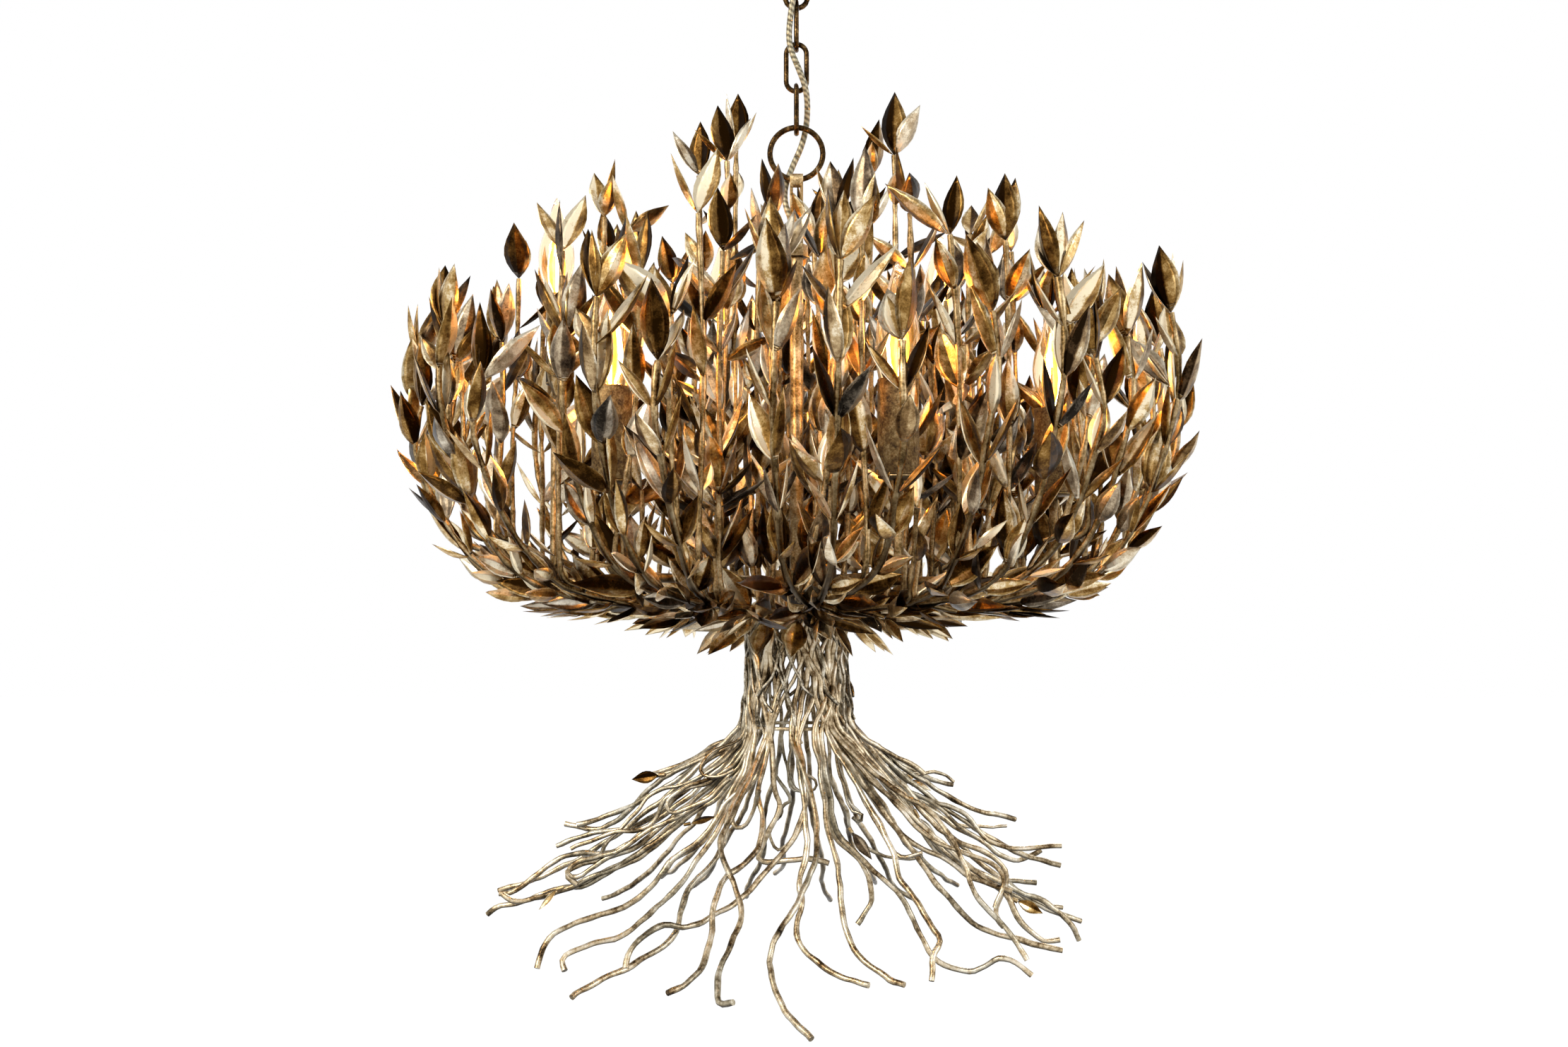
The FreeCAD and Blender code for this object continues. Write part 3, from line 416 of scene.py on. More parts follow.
# Antique brass: sheet leaves under a brown wax patina, rubbed paler in places, a few of them grey as a
# painted reflection of a cool sky, each with one side painted lit and the other painted in shade
antique_brass_leaf = patinated_metal(
    "antique brass leaf",
    ((0.0, "#1f1103"), (0.27, "#4d3314"), (0.54, "#886634"), (0.79, "#c3a36c"), (1.0, "#f8e9c8")),
    blotch=0.018, speck=0.0016, rough=(0.25, 0.43), bump=0.0005, grain=0.22, spread=0.20,
    tone_reach=0.85, painted_half_shade=0.29, cool_from=(0.60, 1.0),
    cool=((0.0, "#1f1d19"), (0.4, "#69645a"), (1.0, "#dcd8cd")))
# Antique brass wire and tube: duller, paler and more even than the leaves, with painted shade, a darker
# brown, on their undersides
antique_brass_stem = patinated_metal(
    "antique brass wire",
    ((0.0, "#3a2d1b"), (0.3, "#79613b"), (0.6, "#b0956a"), (1.0, "#e6d2a8")),
    blotch=0.016, speck=0.0020, rough=(0.32, 0.55), bump=0.0006, grain=0.3, spread=0.16, under="#2c2114")
# Champagne-plated iron wire: warm and pale with greyed stretches, with painted shade, a dark brown, on its
# undersides
champagne_wire = patinated_metal(
    "champagne plated wire",
    ((0.0, "#1c130a"), (0.28, "#7a6446"), (0.54, "#cfbb98"), (1.0, "#fdf5e4")),
    blotch=0.022, speck=0.0026, rough=(0.26, 0.46), bump=0.0006, grain=0.28, spread=0.16,
    cool=((0.0, "#332e24"), (0.4, "#918973"), (1.0, "#eae5d4")), under="#140d06")
# Weathered iron wire: the thin wires wound round the trunk, greyed, with painted shade, near black, on their
# undersides
weathered_wire = patinated_metal(
    "weathered iron wire",
    ((0.0, "#120d07"), (0.32, "#6a5e49"), (0.62, "#c6baa2"), (1.0, "#fbf5e6")),
    blotch=0.012, speck=0.0018, rough=(0.28, 0.52), bump=0.0006, grain=0.35, spread=0.14, under="#120c06")
# Dark bronze: chain and ring, rubbed a little at random
dark_bronze = patinated_metal(
    "dark bronze",
    ((0.0, "#120c06"), (0.4, "#302211"), (0.7, "#574125"), (1.0, "#947c53")),
    blotch=0.009, speck=0.0016, rough=(0.26, 0.46), bump=0.0004)
# Aged gilt card: the wide candle sleeves, blotched and dull
aged_gilt = patinated_metal(
    "aged gilt sleeve",
    ((0.0, "#2e2113"), (0.35, "#6a5130"), (0.65, "#93784c"), (1.0, "#bda477")),
    blotch=0.007, speck=0.0018, rough=(0.45, 0.7), bump=0.0006, metallic=0.7)


def make_cord_sheath():
    """Clear gold PVC over twisted strands: greyish gold, its twist showing softly every 5 mm."""
    material, tree = new_material("gold lamp cord")
    place = add_node(tree, "ShaderNodeUVMap")
    spread = add_node(tree, "ShaderNodeMapping", {"Vector": place, "Scale": (2.0, 240.0, 1.0)})
    twist = add_node(tree, "ShaderNodeTexWave",
                     {"Vector": spread, "Scale": 0.5, "Distortion": 0.6, "Detail": 1.0},
                     wave_type="BANDS", bands_direction="DIAGONAL")
    tint = add_node(tree, "ShaderNodeValToRGB", {"Fac": twist},
                    stops=((0.0, "#5d5642"), (0.5, "#8f8970"), (1.0, "#b9b296")))
    relief = add_node(tree, "ShaderNodeBump", {"Strength": 0.3, "Distance": 0.0004, "Height": twist})
    shader = add_node(tree, "ShaderNodeBsdfPrincipled",
                      {"Base Color": tint, "Metallic": 0.35, "Roughness": 0.38, "Normal": relief})
    add_node(tree, "ShaderNodeOutputMaterial", {"Surface": shader})
    return material


def make_clear_glass():
    """Blown bulb glass: clear and smooth, with faint waves 17 mm long and a faint warm cast."""
    material, tree = new_material("clear bulb glass")
    place = add_node(tree, "ShaderNodeTexCoord", out=3)
    waves = add_node(tree, "ShaderNodeTexNoise", {"Vector": place, "Scale": 60.0, "Detail": 1.0})
    relief = add_node(tree, "ShaderNodeBump", {"Strength": 0.04, "Distance": 0.0004, "Height": waves})
    shader = add_node(tree, "ShaderNodeBsdfPrincipled",
                      {"Base Color": colour("#fff6e6"), "Roughness": 0.02, "IOR": 1.46,
                       "Transmission Weight": 1.0, "Normal": relief,
                       "Emission Color": colour("#ffb347"), "Emission Strength": 0.07})
    add_node(tree, "ShaderNodeOutputMaterial", {"Surface": shader})
    return material


def make_filament_glow(name, stops, strength):
    """Lit filament, brighter and darker along its length in stretches of 8 mm."""
    material, tree = new_material(name)
    place = add_node(tree, "ShaderNodeTexCoord", out=3)
    grain = add_node(tree, "ShaderNodeTexNoise", {"Vector": place, "Scale": 120.0, "Detail": 1.0})
    tint = add_node(tree, "ShaderNodeValToRGB", {"Fac": grain}, stops=stops)
    shader = add_node(tree, "ShaderNodeBsdfPrincipled",
                      {"Base Color": tint, "Emission Color": tint, "Emission Strength": strength,
                       "Roughness": 0.6})
    add_node(tree, "ShaderNodeOutputMaterial", {"Surface": shader})
    return material


def make_phenolic():
    """Moulded phenolic: the black lamp sockets, dull, with pits drawn 1.4 mm wide so that they show."""
    material, tree = new_material("black phenolic")
    place = add_node(tree, "ShaderNodeTexCoord", out=3)
    pits = add_node(tree, "ShaderNodeTexNoise", {"Vector": place, "Scale": 700.0, "Detail": 2.0})
    tint = add_node(tree, "ShaderNodeValToRGB", {"Fac": pits}, stops=((0.3, "#141312"), (0.7, "#2a2724")))
    relief = add_node(tree, "ShaderNodeBump", {"Strength": 0.2, "Distance": 0.0002, "Height": pits})
    shader = add_node(tree, "ShaderNodeBsdfPrincipled",
                      {"Base Color": tint, "Roughness": 0.42, "Normal": relief})
    add_node(tree, "ShaderNodeOutputMaterial", {"Surface": shader})
    return material


cord_sheath = make_cord_sheath()
clear_glass = make_clear_glass()
filament_glow = make_filament_glow("lit filament", ((0.3, "#ffd27a"), (0.7, "#fff0c0")), 30.0)
amber_glow = make_filament_glow("amber filament", ((0.3, "#ff9a26"), (0.7, "#ffb84a")), 3.5)
black_phenolic = make_phenolic()

make_cord(cord_sheath)


# Chain and ring: round wire bent to shape

CHAIN_WIRE = 0.0048
LINK_LENGTH = 0.050
LINK_WIDTH = 0.024
LINK_TOPS = (-0.0620, -0.1021, -0.1422)
RING_WIRE = 0.0053
RING_RADIUS = 0.0249
RING_LEVEL = -0.20695
BOW_STEPS = 14
CHAIN_SIDES = 16
RING_SIDES = 20
RING_STEPS = 48


def stadium(top, across):
    """Centre line of a link whose top wire is at a level, its width along a direction."""
    reach = (LINK_WIDTH - CHAIN_WIRE) / 2
    rise = LINK_LENGTH - CHAIN_WIRE
    points = []
    for centre, first in ((top - reach, 0.0), (top - rise + reach, math.pi)):
        for step in range(BOW_STEPS + 1):
            angle = first + math.pi * step / BOW_STEPS
            upward = Vector((0, 0, centre + reach * math.sin(angle)))
            points.append(across * (reach * math.cos(angle)) + upward)
    return points


def make_chain():
    for number, top in enumerate(LINK_TOPS, start=1):
        across = Vector((1, 0, 0)) if number == 2 else Vector((0, 1, 0))
        shape = bmesh.new()
        add_tube(shape, stadium(top, across), CHAIN_WIRE / 2, CHAIN_SIDES, closed=True)
        name = "chain_link_%d" % number
        hang_on(mesh_piece("bent_link_%d" % number, shape, dark_bronze), name, "dark_bronze", name)
    circle = []
    for step in range(RING_STEPS):
        angle = 2 * math.pi * step / RING_STEPS
        circle.append(Vector((RING_RADIUS * math.cos(angle), 0, RING_LEVEL + RING_RADIUS * math.sin(angle))))
    shape = bmesh.new()
    add_tube(shape, circle, RING_WIRE / 2, RING_SIDES, closed=True)
    hang_on(mesh_piece("round_ring", shape, dark_bronze), "hanging_ring", "dark_bronze", "hanging_ring")


make_chain()


# Leafy sprays: Geometry Nodes put folded leaves in pairs along the stems and clusters at their ends

# A leaf's grid across and along it, how far its widest place lies toward the foot, how full it is,
# the gap closed at its rim and the strip at the midrib that keeps its edge
LEAF_GRID = (5, 8)
LEAF_SKEW = 0.88
LEAF_FULLNESS = 1.12
RIM_GAP = 0.00002
MIDRIB_STRIP = 0.1
# Each pair is turned from the one before, the leaves of an end cluster from each other, in degrees
PAIR_TURN = 98
CLUSTER_TURN = 160
CLUSTER_SPLAY = (0.04, 0.62)
PAIR_SALT = 10
CLUSTER_SALT = 40
PAST_ANY_END = 10.0
# Leaf tips beyond these radii lie closer to them, and so do tips under the rods to the rods' level
RIM_EASE_HEIGHTS = (0.0, 0.14)
RIM_EASE_RADII = (0.272, 0.356)
RIM_EASE_SHARE = 0.42
UNDERSIDE = 0.003
# The rods' level rises from the first radius to the second
RISE_RADII = (0.12, 0.292)
RISE_AT_RIM = 0.034
RISE_POWER = 3.0


def polar(radius, angle, height):
    """A place by its distance from the axis, angle in degrees and height over the branches' foot."""
    turn = math.radians(angle)
    return Vector((radius * math.cos(turn), radius * math.sin(turn), BASE_LEVEL + height))


def new_tree(name, inputs):
    """A Geometry Nodes tree with named inputs, and the sockets that give their values inside it."""
    tree = bpy.data.node_groups.new(name, "GeometryNodeTree")
    tree.interface.new_socket("Geometry", in_out="INPUT", socket_type="NodeSocketGeometry")
    for label, kind, value in inputs:
        socket = tree.interface.new_socket(label, in_out="INPUT", socket_type="NodeSocket" + kind)
        socket.default_value = value
    tree.interface.new_socket("Geometry", in_out="OUTPUT", socket_type="NodeSocketGeometry")
    entry = tree.nodes.new("NodeGroupInput")
    return tree, {socket.name: socket for socket in entry.outputs if socket.name}


def leaf_blade(tree, sizes):
    """One leaf along +Z: two skins that meet at the rim, folded along the midrib and arched."""
    skins = []
    for back in (False, True):
        grid = add_node(tree, "GeometryNodeMeshGrid",
                        {"Size X": 2.0, "Size Y": 1.0, "Vertices X": LEAF_GRID[0],
                         "Vertices Y": LEAF_GRID[1]})
        spot = add_node(tree, "GeometryNodeInputPosition")
        across = add_node(tree, "ShaderNodeSeparateXYZ", {"Vector": spot})
        middle = across.node.outputs[1]
        along = add_node(tree, "ShaderNodeMath", {0: middle, 1: 0.5}, operation="ADD", use_clamp=True)
        skewed = add_node(tree, "ShaderNodeMath", {0: along, 1: LEAF_SKEW}, operation="POWER")
        turn = add_node(tree, "ShaderNodeMath", {0: skewed, 1: math.pi}, operation="MULTIPLY")
        wave = add_node(tree, "ShaderNodeMath", {0: turn}, operation="SINE", use_clamp=True)
        breadth = add_node(tree, "ShaderNodeMath", {0: wave, 1: LEAF_FULLNESS}, operation="POWER")
        half = add_node(tree, "ShaderNodeMath", {0: sizes["Leaf Width"], 1: 0.5}, operation="MULTIPLY")
        side = add_node(tree, "ShaderNodeMath", {0: across, 1: breadth}, operation="MULTIPLY")
        y = add_node(tree, "ShaderNodeMath", {0: side, 1: half}, operation="MULTIPLY")
        z = add_node(tree, "ShaderNodeMath", {0: along, 1: sizes["Leaf Length"]}, operation="MULTIPLY")
        span = add_node(tree, "ShaderNodeMath", {0: across}, operation="ABSOLUTE")
        raised = add_node(tree, "ShaderNodeMath", {0: span, 1: breadth}, operation="MULTIPLY")
        fold = add_node(tree, "ShaderNodeMath", {0: raised, 1: sizes["Leaf Fold"]}, operation="MULTIPLY")
        arch = add_node(tree, "ShaderNodeMath", {0: wave, 1: sizes["Leaf Arch"]}, operation="MULTIPLY")
        x = add_node(tree, "ShaderNodeMath", {0: arch, 1: fold}, operation="SUBTRACT")
        if back:
            inner = add_node(tree, "ShaderNodeMath", {0: 1.0, 1: span}, operation="SUBTRACT")
            skin = add_node(tree, "ShaderNodeMath", {0: inner, 1: sizes["Leaf Thickness"]},
                            operation="MULTIPLY")
            skin = add_node(tree, "ShaderNodeMath", {0: skin, 1: breadth}, operation="MULTIPLY")
            x = add_node(tree, "ShaderNodeMath", {0: x, 1: skin}, operation="ADD")
        place = add_node(tree, "ShaderNodeCombineXYZ", {0: x, 1: y, 2: z})
        mesh = add_node(tree, "GeometryNodeStoreNamedAttribute",
                        {"Geometry": grid, "Name": "leaf_across", "Value": across}, domain="POINT")
        mesh = add_node(tree, "GeometryNodeSetPosition", {"Geometry": mesh, "Position": place})
        if back:
            mesh = add_node(tree, "GeometryNodeFlipFaces", {"Mesh": mesh})
        skins.append(mesh)
    joined = add_node(tree, "GeometryNodeJoinGeometry")
    for mesh in reversed(skins):
        tree.links.new(mesh, joined.node.inputs[0])
    closed = add_node(tree, "GeometryNodeMergeByDistance", {"Geometry": joined, "Distance": RIM_GAP})
    smooth = add_node(tree, "GeometryNodeSetShadeSmooth", {"Geometry": closed, "Shade Smooth": True})
    across = add_node(tree, "GeometryNodeInputNamedAttribute", {"Name": "leaf_across"}, data_type="FLOAT")
    span = add_node(tree, "ShaderNodeMath", {0: across}, operation="ABSOLUTE")
    midrib = add_node(tree, "FunctionNodeCompare", {0: span, 1: MIDRIB_STRIP}, data_type="FLOAT",
                      operation="LESS_THAN")
    return add_node(tree, "GeometryNodeSetShadeSmooth",
                    {"Geometry": smooth, "Selection": midrib, "Shade Smooth": False}, domain="EDGE")


def leaves_on(tree, points, rotation, blade, amount, turn_each, splay, sizes, salt):
    """A few leaves at each point, turned round the stem and tilted away from it."""
    held = add_node(tree, "GeometryNodeStoreNamedAttribute",
                    {"Geometry": points, "Name": "stem_turn", "Value": rotation},
                    data_type="QUATERNION", domain="POINT")
    order = add_node(tree, "GeometryNodeInputIndex")
    held = add_node(tree, "GeometryNodeStoreNamedAttribute",
                    {"Geometry": held, "Name": "stem_order", "Value": order}, data_type="INT", domain="POINT")
    several = add_node(tree, "GeometryNodeDuplicateElements", {"Geometry": held, "Amount": amount},
                       domain="POINT")
    copy_number = several.node.outputs[1]
    seed = add_node(tree, "ShaderNodeMath", {0: sizes["Seed"], 1: float(salt)}, operation="ADD")
    chances = {}
    for name, least, most, draw in (
        ("missing", 0.0, 1.0, salt + 1),
        ("wander", -0.5, 0.5, seed),
        ("tilt", splay[0], splay[1], salt + 2),
        ("roll", -0.7, 0.7, salt + 3),
        ("length", 0.70, 1.16, salt + 4),
        ("width", 0.82, 1.15, salt + 5),
        ("tone", 0.0, 1.0, salt + 6),
    ):
        chances[name] = add_node(tree, "FunctionNodeRandomValue", {2: least, 3: most, 8: draw}, out=1,
                                 data_type="FLOAT")
    bare = add_node(tree, "FunctionNodeCompare", {0: chances["missing"], 1: sizes["Missing Leaves"]},
                    data_type="FLOAT", operation="LESS_THAN")
    several = add_node(tree, "GeometryNodeDeleteGeometry", {"Geometry": several, "Selection": bare},
                       domain="POINT")
    turn = add_node(tree, "GeometryNodeInputNamedAttribute", {"Name": "stem_turn"}, data_type="QUATERNION")
    stem_order = add_node(tree, "GeometryNodeInputNamedAttribute", {"Name": "stem_order"}, data_type="INT")
    own = add_node(tree, "ShaderNodeMath", {0: copy_number, 1: turn_each, 2: chances["wander"]},
                   operation="MULTIPLY_ADD")
    azimuth = add_node(tree, "ShaderNodeMath", {0: stem_order, 1: math.radians(PAIR_TURN), 2: own},
                       operation="MULTIPLY_ADD")
    # round the stem, away from it and about the leaf's own length
    for axis, angle in ((2, azimuth), (1, chances["tilt"]), (2, chances["roll"])):
        step = add_node(tree, "ShaderNodeCombineXYZ", {axis: angle})
        step = add_node(tree, "FunctionNodeEulerToRotation", {0: step})
        turn = add_node(tree, "FunctionNodeRotateRotation", {0: turn, 1: step}, rotation_space="LOCAL")
    across = add_node(tree, "ShaderNodeMath", {0: chances["length"], 1: chances["width"]},
                      operation="MULTIPLY")
    size = add_node(tree, "ShaderNodeCombineXYZ", {0: across, 1: across, 2: chances["length"]})
    placed = add_node(tree, "GeometryNodeInstanceOnPoints",
                      {"Points": several, "Instance": blade, "Rotation": turn, "Scale": size})
    return add_node(tree, "GeometryNodeStoreNamedAttribute",
                    {"Geometry": placed, "Name": "leaf_tone", "Value": chances["tone"]}, domain="INSTANCE")


def spray_tree():
    """Thin rods with folded leaves in pairs along them and in clusters at their ends."""
    tree, sizes = new_tree("leafy spray", (
        ("Leaf Length", "Float", 0.058),
        ("Leaf Width", "Float", 0.0220),
        ("Leaf Fold", "Float", 0.0042),
        ("Leaf Arch", "Float", 0.0042),
        ("Leaf Thickness", "Float", 0.0011),
        ("Leaf Spacing", "Float", 0.043),
        ("Missing Leaves", "Float", 0.24),
        ("Least Splay", "Float", 0.34),
        ("Most Splay", "Float", 1.15),
        ("Pair Leaves", "Int", 2),
        ("End Leaves", "Int", 2),
        ("Level Ease", "Float", 0.40),
        ("Bare Foot", "Float", 0.045),
        ("Stem Radius", "Float", 0.0021),
        ("Seed", "Int", 1),
        ("Leaf Finish", "Material", antique_brass_leaf),
        ("Stem Finish", "Material", antique_brass_stem),
    ))
    stems = sizes["Geometry"]
    blade = leaf_blade(tree, sizes)
    # the stems themselves, thicker where leaves are brazed on
    spot = add_node(tree, "GeometryNodeInputPosition")
    knots = add_node(tree, "ShaderNodeTexNoise", {"Vector": spot, "Scale": 75.0, "Detail": 1.0})
    swell = add_node(tree, "ShaderNodeMapRange",
                     {"Value": knots, "From Min": 0.3, "From Max": 0.7, "To Min": 0.8, "To Max": 1.45})
    fine = add_node(tree, "GeometryNodeResampleCurve", {"Curve": stems, "Length": 0.006}, mode="LENGTH")
    gauge = add_node(tree, "ShaderNodeMath", {0: swell, 1: sizes["Stem Radius"]}, operation="MULTIPLY")
    ring = add_node(tree, "GeometryNodeCurvePrimitiveCircle", {"Resolution": 7, "Radius": 1.0})
    rods = add_node(tree, "GeometryNodeSetCurveRadius", {"Curve": fine, "Radius": gauge})
    rods = add_node(tree, "GeometryNodeCurveToMesh",
                    {"Curve": rods, "Profile Curve": ring, "Scale": gauge, "Fill Caps": True})
    rods = add_node(tree, "GeometryNodeSetMaterial", {"Geometry": rods, "Material": sizes["Stem Finish"]})
    # pairs of leaves along the stems
    leafy = add_node(tree, "GeometryNodeTrimCurve", {"Curve": stems}, mode="LENGTH")
    for socket in leafy.node.inputs:
        if socket.name == "Start" and socket.enabled:
            tree.links.new(sizes["Bare Foot"], socket)
        if socket.name == "End" and socket.enabled:
            socket.default_value = PAST_ANY_END
    nodes_of_pairs = add_node(tree, "GeometryNodeCurveToPoints",
                              {"Curve": leafy, "Length": sizes["Leaf Spacing"]}, mode="LENGTH")
    pairs = leaves_on(tree, nodes_of_pairs, nodes_of_pairs.node.outputs["Rotation"], blade,
                      sizes["Pair Leaves"], math.pi, (sizes["Least Splay"], sizes["Most Splay"]), sizes,
                      PAIR_SALT)
    # clusters at the ends: the second of each stem's two end points
    ends = add_node(tree, "GeometryNodeCurveToPoints", {"Curve": stems, "Count": 2}, mode="COUNT")
    end_turn = ends.node.outputs["Rotation"]
    order = add_node(tree, "GeometryNodeInputIndex")
    odd = add_node(tree, "ShaderNodeMath", {0: order, 1: 2.0}, operation="MODULO")
    foot = add_node(tree, "FunctionNodeCompare", {0: odd, 1: 0.5}, data_type="FLOAT", operation="LESS_THAN")
    held = add_node(tree, "GeometryNodeStoreNamedAttribute",
                    {"Geometry": ends, "Name": "end_turn", "Value": end_turn}, data_type="QUATERNION",
                    domain="POINT")
    tips = add_node(tree, "GeometryNodeDeleteGeometry", {"Geometry": held, "Selection": foot}, domain="POINT")
    tip_turn = add_node(tree, "GeometryNodeInputNamedAttribute", {"Name": "end_turn"}, data_type="QUATERNION")
    clusters = leaves_on(tree, tips, tip_turn, blade, sizes["End Leaves"], math.radians(CLUSTER_TURN),
                         CLUSTER_SPLAY, sizes, CLUSTER_SALT)
    joined = add_node(tree, "GeometryNodeJoinGeometry")
    for part in (clusters, pairs):
        tree.links.new(part, joined.node.inputs[0])
    leaves = add_node(tree, "GeometryNodeRealizeInstances", {"Geometry": joined})
    leaves = add_node(tree, "GeometryNodeSetMaterial", {"Geometry": leaves, "Material": sizes["Leaf Finish"]})
    everything = add_node(tree, "GeometryNodeJoinGeometry")
    for part in (leaves, rods):
        tree.links.new(part, everything.node.inputs[0])
    whole = add_node(tree, "GeometryNodeRealizeInstances", {"Geometry": everything})
    # leaf tips at the rim and under the rods lie closer to them than they would by chance
    spot = add_node(tree, "GeometryNodeInputPosition")
    level = add_node(tree, "ShaderNodeSeparateXYZ", {"Vector": spot}, out=2)
    limit = add_node(tree, "ShaderNodeMapRange",
                     {"Value": level, "From Min": BASE_LEVEL + RIM_EASE_HEIGHTS[0],
                      "From Max": BASE_LEVEL + RIM_EASE_HEIGHTS[1], "To Min": RIM_EASE_RADII[0],
                      "To Max": RIM_EASE_RADII[1]})
    flat = add_node(tree, "ShaderNodeVectorMath", {0: spot, 1: (1.0, 1.0, 0.0)}, operation="MULTIPLY")
    reach = add_node(tree, "ShaderNodeVectorMath", {0: flat}, out=1, operation="LENGTH")
    outward = add_node(tree, "ShaderNodeMapRange",
                       {"Value": reach, "From Min": RISE_RADII[0], "From Max": RISE_RADII[1]})
    curved = add_node(tree, "ShaderNodeMath", {0: outward, 1: RISE_POWER}, operation="POWER")
    floor = add_node(tree, "ShaderNodeMath", {0: curved, 1: RISE_AT_RIM, 2: BASE_LEVEL - UNDERSIDE},
                     operation="MULTIPLY_ADD")
    below = add_node(tree, "ShaderNodeMath", {0: floor, 1: level}, operation="SUBTRACT")
    below = add_node(tree, "ShaderNodeMath", {0: below, 1: 0.0}, operation="MAXIMUM")
    lifted = add_node(tree, "ShaderNodeMath", {0: below, 1: sizes["Level Ease"]}, operation="MULTIPLY")
    upward = add_node(tree, "ShaderNodeCombineXYZ", {2: lifted})
    beyond = add_node(tree, "ShaderNodeMath", {0: reach, 1: limit}, operation="SUBTRACT")
    beyond = add_node(tree, "ShaderNodeMath", {0: beyond, 1: 0.0}, operation="MAXIMUM")
    safe = add_node(tree, "ShaderNodeMath", {0: reach, 1: 0.001}, operation="MAXIMUM")
    share = add_node(tree, "ShaderNodeMath", {0: beyond, 1: safe}, operation="DIVIDE")
    share = add_node(tree, "ShaderNodeMath", {0: share, 1: -RIM_EASE_SHARE}, operation="MULTIPLY")
    inward = add_node(tree, "ShaderNodeVectorMath", {0: flat, "Scale": share}, operation="SCALE")
    offset = add_node(tree, "ShaderNodeVectorMath", {0: inward, 1: upward}, operation="ADD")
    whole = add_node(tree, "GeometryNodeSetPosition", {"Geometry": whole, "Offset": offset})
    add_node(tree, "NodeGroupOutput", {"Geometry": whole})
    return tree


def grown(name, routes, tree, values, gauges=None):
    """The routes' curve put through a tree and made a plain mesh."""
    piece = smooth_curve(name, routes, gauges)
    modifier = piece.modifiers.new("grow", "NODES")
    modifier.node_group = tree
    for item in tree.interface.items_tree:
        if item.name in values:
            modifier[item.identifier] = values[item.name]
    return settled(piece)


LAMP_RING_RADIUS = 0.235
FIRST_LAMP_ANGLE = -130.0
LAMP_STEP = 60.0
LOW_LAMPS = (0, 1, 2)
HIGH_LAMPS = (3, 4, 5)
# How far a wand in front stays from the middle of a low lamp and of the pipe, seen from the camera
LAMP_CLEAR = 0.025
PIPE_CLEAR = 0.030
IN_FRONT_OF_PIPE = -0.02

# The crown's stems and wands are those of the CAD source
RIM_RADIUS = 0.360
RIM_HEIGHT = 0.250
PEAK_HEIGHT = 0.486
EDGE_HEIGHT = 0.297
CROWN_SLOPE_POWER = 1.6
END_LEAF_REACH = 0.046
BRANCH_COUNT = 12
BRANCH_STEP = 30.0
FIRST_BRANCH_ANGLE = -115.0
TURN_UP = 3
ROD_REACH = (0.12, 0.41, 0.68, 0.81, 0.90, 0.955, 0.99, 0.965)
ROD_RISE = (0.0, 0.015, 0.046, 0.145, 0.344, 0.59, 0.80, 1.0)
# Turn in degrees, share of the rod's reach and of its rise
STEMS = {"rod": (0.0, 1.0, 1.0), "left": (8.0, 0.98, 0.74), "right": (-8.0, 0.93, 0.88)}
EVEN_WANDS = (("rod", 0.16), ("rod", 0.44), ("left", 0.62), ("right", 0.74), ("left", 0.84))
ODD_WANDS = (("rod", 0.25), ("rod", 0.50), ("right", 0.58), ("left", 0.72), ("right", 0.80))
# How far each wand rises toward the crown's outline, one row for each branch from the front left round
WAND_HEIGHTS = (
    (0.84, 0.80, 0.92, 0.84, 0.78),
    (0.80, 0.78, 0.88, 0.92, 0.86),
    (0.82, 0.88, 0.80, 0.92, 0.74),
    (1.00, 0.86, 0.90, 0.74, 0.80),
    (0.86, 0.92, 0.98, 0.82, 0.98),
    (1.00, 0.84, 0.98, 0.90, 1.00),
    (0.82, 1.00, 0.88, 0.98, 0.92),
    (0.88, 0.86, 0.98, 0.90, 1.00),
    (0.85, 0.90, 0.98, 0.86, 0.98),
    (1.00, 0.88, 0.98, 0.92, 0.86),
    (1.00, 0.84, 0.94, 0.98, 0.84),
    (0.98, 0.88, 0.96, 0.86, 0.78),
)
# Lower sprigs between the wands: the stem, the distance from the middle and the share of the outline
SPRIGS = (("rod", 0.34, 0.66), ("left", 0.52, 0.74), ("right", 0.67, 0.62), ("rod", 0.63, 0.80))
LOW_SPRIGS = (("rod", 0.20, 0.36), ("left", 0.46, 0.40), ("right", 0.50, 0.34), ("rod", 0.57, 0.46))
# Branches with low sprigs alone: those in front and at the sides
SPARSE_BRANCHES = (0, 1, 2, 3, 9, 10, 11)
SPRIG_SHIFT = 0.03
SPRIG_HEIGHTS = (0.8, 1.1)
# Branches on the left whose rods end a little lower
LOW_RODS = (0, 10, 11)
LOW_ROD_SHARE = 0.88
LOW_ROD_LIFT = 0.010
ROD_WOBBLE = 0.5
# Leaves that droop from the rod: where the short stem leaves it and ends, and how far it drops
DROOPS = ((0.10, 0.165, 0.010), (0.27, 0.33, 0.009), (0.50, 0.56, 0.007))
DROOP_ASIDE = 7
DROOP_SAG = 0.25
# A wand lies along its stem for a short way, turns up, and drifts and bends a little on its way
WAND_FOOT = ((-0.014, 0.0), (-0.001, 0.002))
WAND_RISES = (0.12, 0.4, 0.7, 1.0)
WAND_DRIFT = 0.011
WAND_BEND = 0.004
FULL_LEAN_FROM = 0.5
TALL_FROM = 0.6
BRANCH_SEED = 300


def lamp_centre(number):
    return polar(LAMP_RING_RADIUS, FIRST_LAMP_ANGLE + LAMP_STEP * number, 0)


def stem_line(stem):
    """A stem's points as (radius, turn, height)."""
    swing, reach, rise = STEMS[stem]
    line = []
    for place, (reach_share, rise_share) in enumerate(zip(ROD_REACH, ROD_RISE)):
        level_rise = min(rise_share, ROD_RISE[TURN_UP])
        height = RIM_HEIGHT * (level_rise + (rise_share - level_rise) * rise)
        line.append((RIM_RADIUS * reach_share * reach, swing * min(place, TURN_UP) / TURN_UP, height))
    return line


